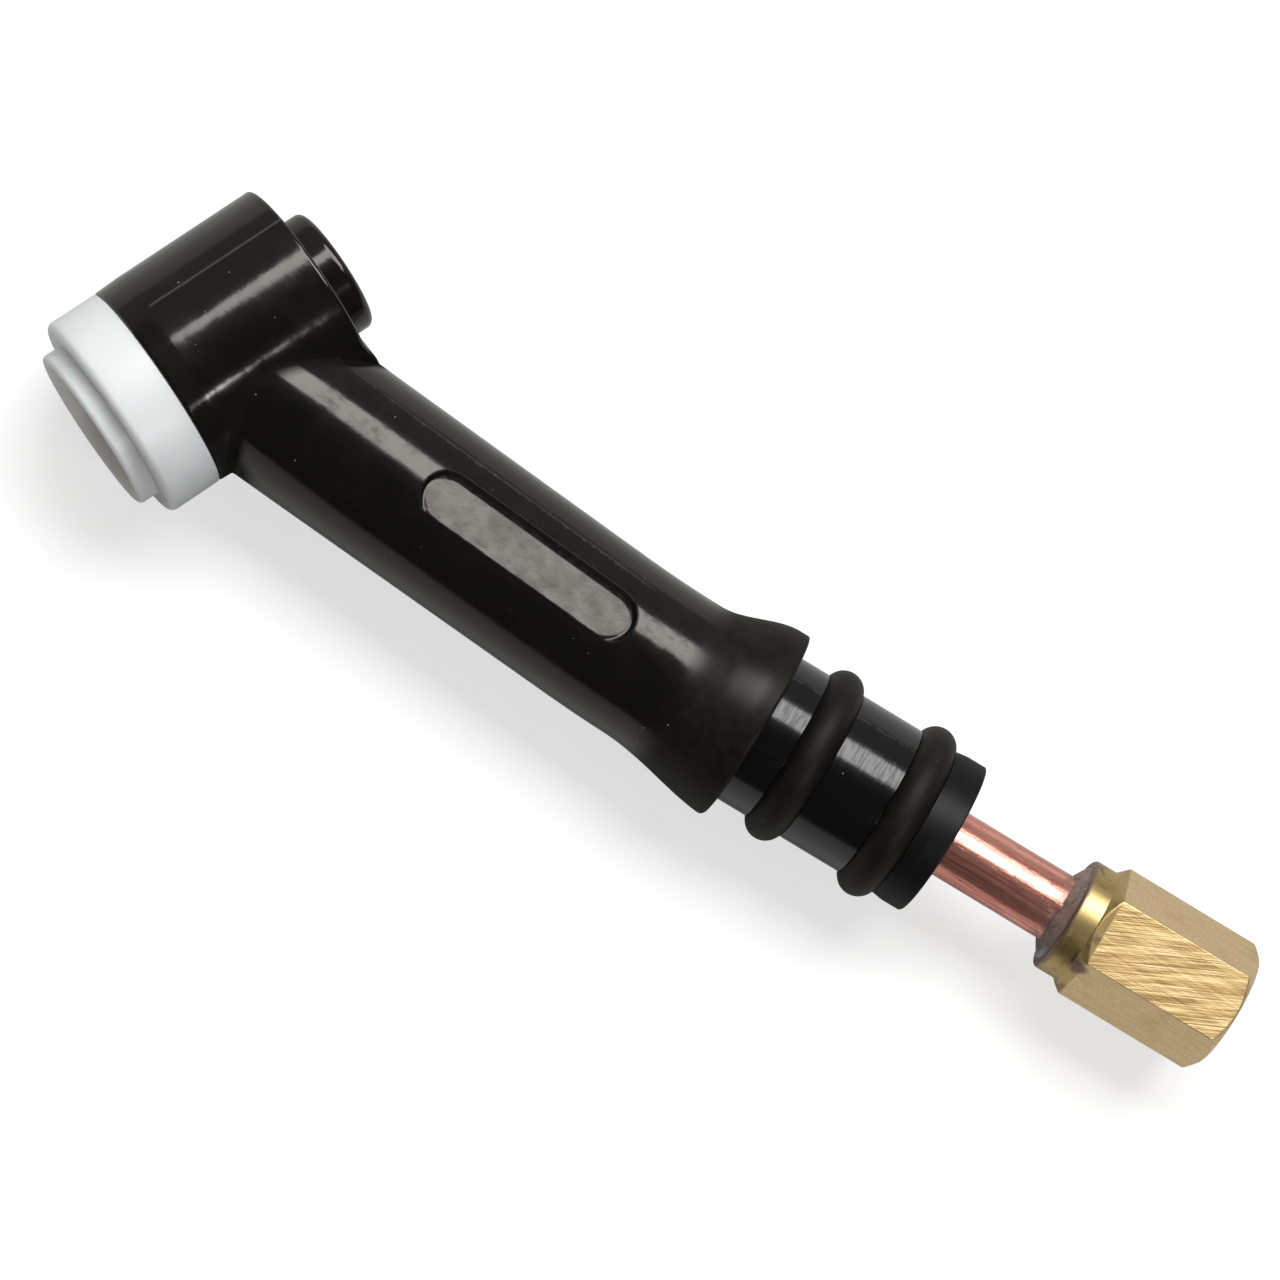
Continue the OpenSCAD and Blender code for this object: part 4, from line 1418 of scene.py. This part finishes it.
def from_nodes(name, tree, values):
    """A plain mesh piece from a node tree, its inputs set by their sockets' identifiers."""
    holder = bpy.data.objects.new(name + "_nodes", bpy.data.meshes.new(name + "_nodes"))
    bpy.context.scene.collection.objects.link(holder)
    modifier = holder.modifiers.new("nodes", "NODES")
    modifier.node_group = tree
    for item in tree.interface.items_tree:
        if item.in_out == "INPUT":
            modifier[item.identifier] = values[item.name]
    holder.update_tag()
    graph = bpy.context.evaluated_depsgraph_get()
    mesh = bpy.data.meshes.new_from_object(holder.evaluated_get(graph), depsgraph=graph)
    mesh.name = name
    holder.modifiers.remove(modifier)
    bpy.data.objects.remove(holder)
    return link(name, mesh, values["Material"])


# Operators


def settle_piece(piece, body, slot, *nodes):
    """Makes a piece ride on a body and stand for CAD nodes."""
    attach(piece, body)
    if nodes:
        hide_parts(*nodes)


class TORCH_OT_stage(bpy.types.Operator):
    """Sets the camera, the floor, the soft light and the world."""

    bl_idname = "torch.stage"
    bl_label = "Stage"

    def execute(self, context):
        for step in (set_camera, set_floor, set_lights, set_world):
            step()
        return {"FINISHED"}


class TORCH_OT_head_skin(bpy.types.Operator):
    """Builds the rubber moulded over the head."""

    bl_idname = "torch.head_skin"
    bl_label = "Head Skin"

    def execute(self, context):
        settle_piece(head_skin(), "head", "silicone_black", "head_jacket")
        return {"FINISHED"}


class TORCH_OT_neck_skin(bpy.types.Operator):
    """Builds the neck's skin in sections from station to station, and the bell."""

    bl_idname = "torch.neck_skin"
    bl_label = "Neck Skin"

    def execute(self, context):
        settle_piece(bell_skin(), "tail", "silicone_black", "neck_bell")
        for index, pair in enumerate(zip(SKIN_BODIES, SKIN_BODIES[1:])):
            piece, start, end = neck_section(index)
            tuple(start)
            tuple(end)
            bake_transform(piece)
            if index < 3:
                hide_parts(f"neck_link_{3 - index}")
        return {"FINISHED"}


class TORCH_OT_insulator(bpy.types.Operator):
    """Builds the white insulator."""

    bl_idname = "torch.insulator"
    bl_label = "Insulator"

    def execute(self, context):
        settle_piece(insulator_ring(), "insulator", "insulator_white", "insulator")
        return {"FINISHED"}


class TORCH_OT_core(bpy.types.Operator):
    """Builds the head's brass core and finishes what lies inside the neck."""

    bl_idname = "torch.core"
    bl_label = "Core and Insides"

    def execute(self, context):
        settle_piece(head_core_body(), "head", "head_brass", "head_core")
        finishes = {"head_ferrule": "copper", "rear_ferrule": "copper", "head_braze": "braze"}
        for number in range(1, 5):
            finishes[f"braid_{number}"] = "braid"
            finishes[f"gas_tube_{number}"] = "hose"
        for node, look in finishes.items():
            for slot in frame["nodes"][node].material_slots:
                slot.material = material(look)
        return {"FINISHED"}


class TORCH_OT_plug(bpy.types.Operator):
    """Builds the handle plug."""

    bl_idname = "torch.plug"
    bl_label = "Handle Plug"

    def execute(self, context):
        settle_piece(plug_body(), "tail", "plug_black", "handle_plug")
        return {"FINISHED"}


class TORCH_OT_rings(bpy.types.Operator):
    """Builds the two O-rings with one node tree."""

    bl_idname = "torch.rings"
    bl_label = "O-Rings"

    def execute(self, context):
        s, unevenness = sizes(), 0.05
        values = {
            "Ring Radius": (s.ring_outer_d - s.ring_section) / 2 * MM,
            "Section Radius": s.ring_section / 2 * MM,
            "Unevenness": unevenness * MM,
            "Material": material("ring"),
        }
        tree = ring_tree()
        for seed, (name, place) in enumerate(zip(RING_NODES, ring_places())):
            values.update({"Place": place * MM, "Seed": seed + 1})
            settle_piece(from_nodes(name + "_swept", tree, values), "tail", "ring_black", name)
        return {"FINISHED"}


class TORCH_OT_tail(bpy.types.Operator):
    """Builds the copper tube, the braze and the cable nut."""

    bl_idname = "torch.tail"
    bl_label = "Tube and Nut"

    def execute(self, context):
        settle_piece(tube_body(), "tail", "tube_copper", "tail_tube")
        settle_piece(braze_fillet(), "tail", "braze_grey", "nut_braze")
        settle_piece(nut_body(), "tail", "nut_brass", "cable_nut")
        return {"FINISHED"}


# Stage

CAMERA_PLACE = (-0.033326, -0.062580, 0.412478)
CAMERA_TURN = (6.1119, -6.9361, 30.5580)
CAMERA_LENS = 132.904
KEY_WAY = (0.325, 0.532, 0.782)
KEY_ROLL = -20
SIDE_WAY = (0.374, -0.538, 0.755)
SIDE_ROLL = 35
BRIGHT_SIDE = (-0.508, 0.861, 0.0)
BRIGHT_LEVEL = 0.34
FLOOR_LIFT = 0.6
FLOOR_FADE = (170.0, 420.0)
FLOOR_IN_METAL = 0.1
DIM_LEVEL = 0.07


def set_camera():
    """A long lens nearly above the torch."""
    data = bpy.data.cameras.new("camera")
    data.lens = CAMERA_LENS
    data.sensor_width = 36
    data.clip_start = 0.01
    data.clip_end = 100
    camera = bpy.data.objects.new("camera", data)
    camera.location = CAMERA_PLACE
    camera.rotation_euler = [math.radians(a) for a in CAMERA_TURN]
    bpy.context.scene.collection.objects.link(camera)
    bpy.context.scene.camera = camera


def ray(shade, kind):
    """1 for rays of one kind: Camera, Glossy or Transmission."""
    return shade.make("ShaderNodeLightPath", output=f"Is {kind} Ray")


def set_floor():
    """A pale floor just under the torch, lifted to white for the eye, which keeps shadows."""
    stage = in_mm(bpy.context.scene.torch_stage)
    half = stage.floor_size / 2 * MM
    corners = [(x * half, y * half, LOWEST) for x, y in ((-1, -1), (1, -1), (1, 1), (-1, 1))]
    mesh = bpy.data.meshes.new("floor")
    mesh.from_pydata(corners, [], [(0, 1, 2, 3)])
    _, paint, place = begin("floor")
    in_metal = ray(place, "Glossy") * FLOOR_IN_METAL
    seen = ray(place, "Camera").most(in_metal, ray(place, "Transmission"))
    away = place.stretched(1.0, 1.0, 0.0).size().between(*FLOOR_FADE)
    lift = seen * (FLOOR_LIFT + away * (1 - FLOOR_LIFT))
    inputs = {"Base Color": (*stage.floor, 1), "Roughness": 0.9, "Specular IOR Level": 0.0}
    matt = place.make("ShaderNodeBsdfPrincipled", None, inputs)
    glow = place.make("ShaderNodeEmission", None, {"Color": (1, 1, 1, 1), "Strength": lift})
    both = place.make("ShaderNodeAddShader", None, {0: matt, 1: glow})
    place.make("ShaderNodeOutputMaterial", None, {"Surface": both})
    link("floor", mesh, paint)


def soft_light(name, way, roll, distance, strength, width, height):
    """A soft rectangular light at a direction from the camera's axes, turned to the torch."""
    data = bpy.data.lights.new(name, "AREA")
    data.shape = "RECTANGLE"
    data.size = width * MM
    data.size_y = height * MM
    data.energy = 4 * strength * data.size * data.size_y
    lamp = bpy.data.objects.new(name, data)
    view = bpy.context.scene.camera.rotation_euler.to_matrix()
    back = (view @ Vector(way)).normalized()
    lamp.location = (CAD_BOX[0] + CAD_BOX[1]) / 2 + back * distance * MM
    up = back.cross(view @ Vector((1, 0, 0))).normalized()
    up = Matrix.Rotation(math.radians(roll), 3, back) @ up
    lamp.rotation_euler = Matrix((up.cross(back), up, back)).transposed().to_euler()
    lamp.visible_camera = False
    bpy.context.scene.collection.objects.link(lamp)


def set_world():
    """A dim studio, brighter on one side and white to the eye."""
    world = bpy.data.worlds.new("studio")
    world.use_nodes = True
    world.node_tree.nodes.clear()
    shade = Value(world.node_tree)
    towards = shade.make("ShaderNodeTexCoord").along(BRIGHT_SIDE)
    level = DIM_LEVEL + towards.between(-0.2, 0.5) * (BRIGHT_LEVEL - DIM_LEVEL)
    level = level.most(ray(shade, "Camera"), ray(shade, "Transmission"))
    sky = shade.make("ShaderNodeBackground", None, {"Color": (1, 1, 1, 1), "Strength": level})
    shade.make("ShaderNodeOutputWorld", None, {"Surface": sky})
    bpy.context.scene.world = world
    bpy.context.scene.view_settings.view_transform = "Standard"


def set_lights():
    """A wide soft light above the view and a narrow one low at the right."""
    stage = in_mm(bpy.context.scene.torch_stage)
    for name, way, roll in (("key", KEY_WAY, KEY_ROLL), ("side", SIDE_WAY, SIDE_ROLL)):
        parts = [getattr(stage, f"{name}_{part}") for part in ("strength", "width", "height")]
        soft_light(name + "_light", way, roll, stage.light_distance, *parts)


# Panel and registration

STEPS = (
    TORCH_OT_stage,
    TORCH_OT_head_skin,
    TORCH_OT_neck_skin,
    TORCH_OT_insulator,
    TORCH_OT_core,
    TORCH_OT_plug,
    TORCH_OT_rings,
    TORCH_OT_tail,
)


class TORCH_PT_panel(bpy.types.Panel):
    """Lists the steps that dress the torch, and its sizes, finishes and stage."""

    bl_idname = "TORCH_PT_panel"
    bl_label = "TIG Torch"
    bl_space_type = "VIEW_3D"
    bl_region_type = "UI"
    bl_category = "TIG Torch"

    def draw(self, context):
        for step in STEPS:
            self.layout.operator(step.bl_idname)
        for group in GROUPS:
            box = self.layout.box()
            for name in GROUPS[group].__annotations__:
                box.prop(getattr(context.scene, group), name)


GROUPS = {"torch_sizes": TorchSizes, "torch_finish": TorchFinish, "torch_stage": TorchStage}


def register():
    """Registers the property groups, the operators and the panel."""
    for name, group in GROUPS.items():
        bpy.utils.register_class(group)
        setattr(bpy.types.Scene, name, bpy.props.PointerProperty(type=group))
    for cls in (*STEPS, TORCH_PT_panel):
        bpy.utils.register_class(cls)


def unregister():
    """Takes them out again."""
    for cls in (TORCH_PT_panel, *reversed(STEPS)):
        bpy.utils.unregister_class(cls)
    for name, group in GROUPS.items():
        delattr(bpy.types.Scene, name)
        bpy.utils.unregister_class(group)


def main():
    """Registers the classes and runs every step that dresses the torch."""
    register()
    for step in STEPS:
        group, name = step.bl_idname.split(".")
        getattr(getattr(bpy.ops, group), name)()


if __name__ == "__main__":
    main()
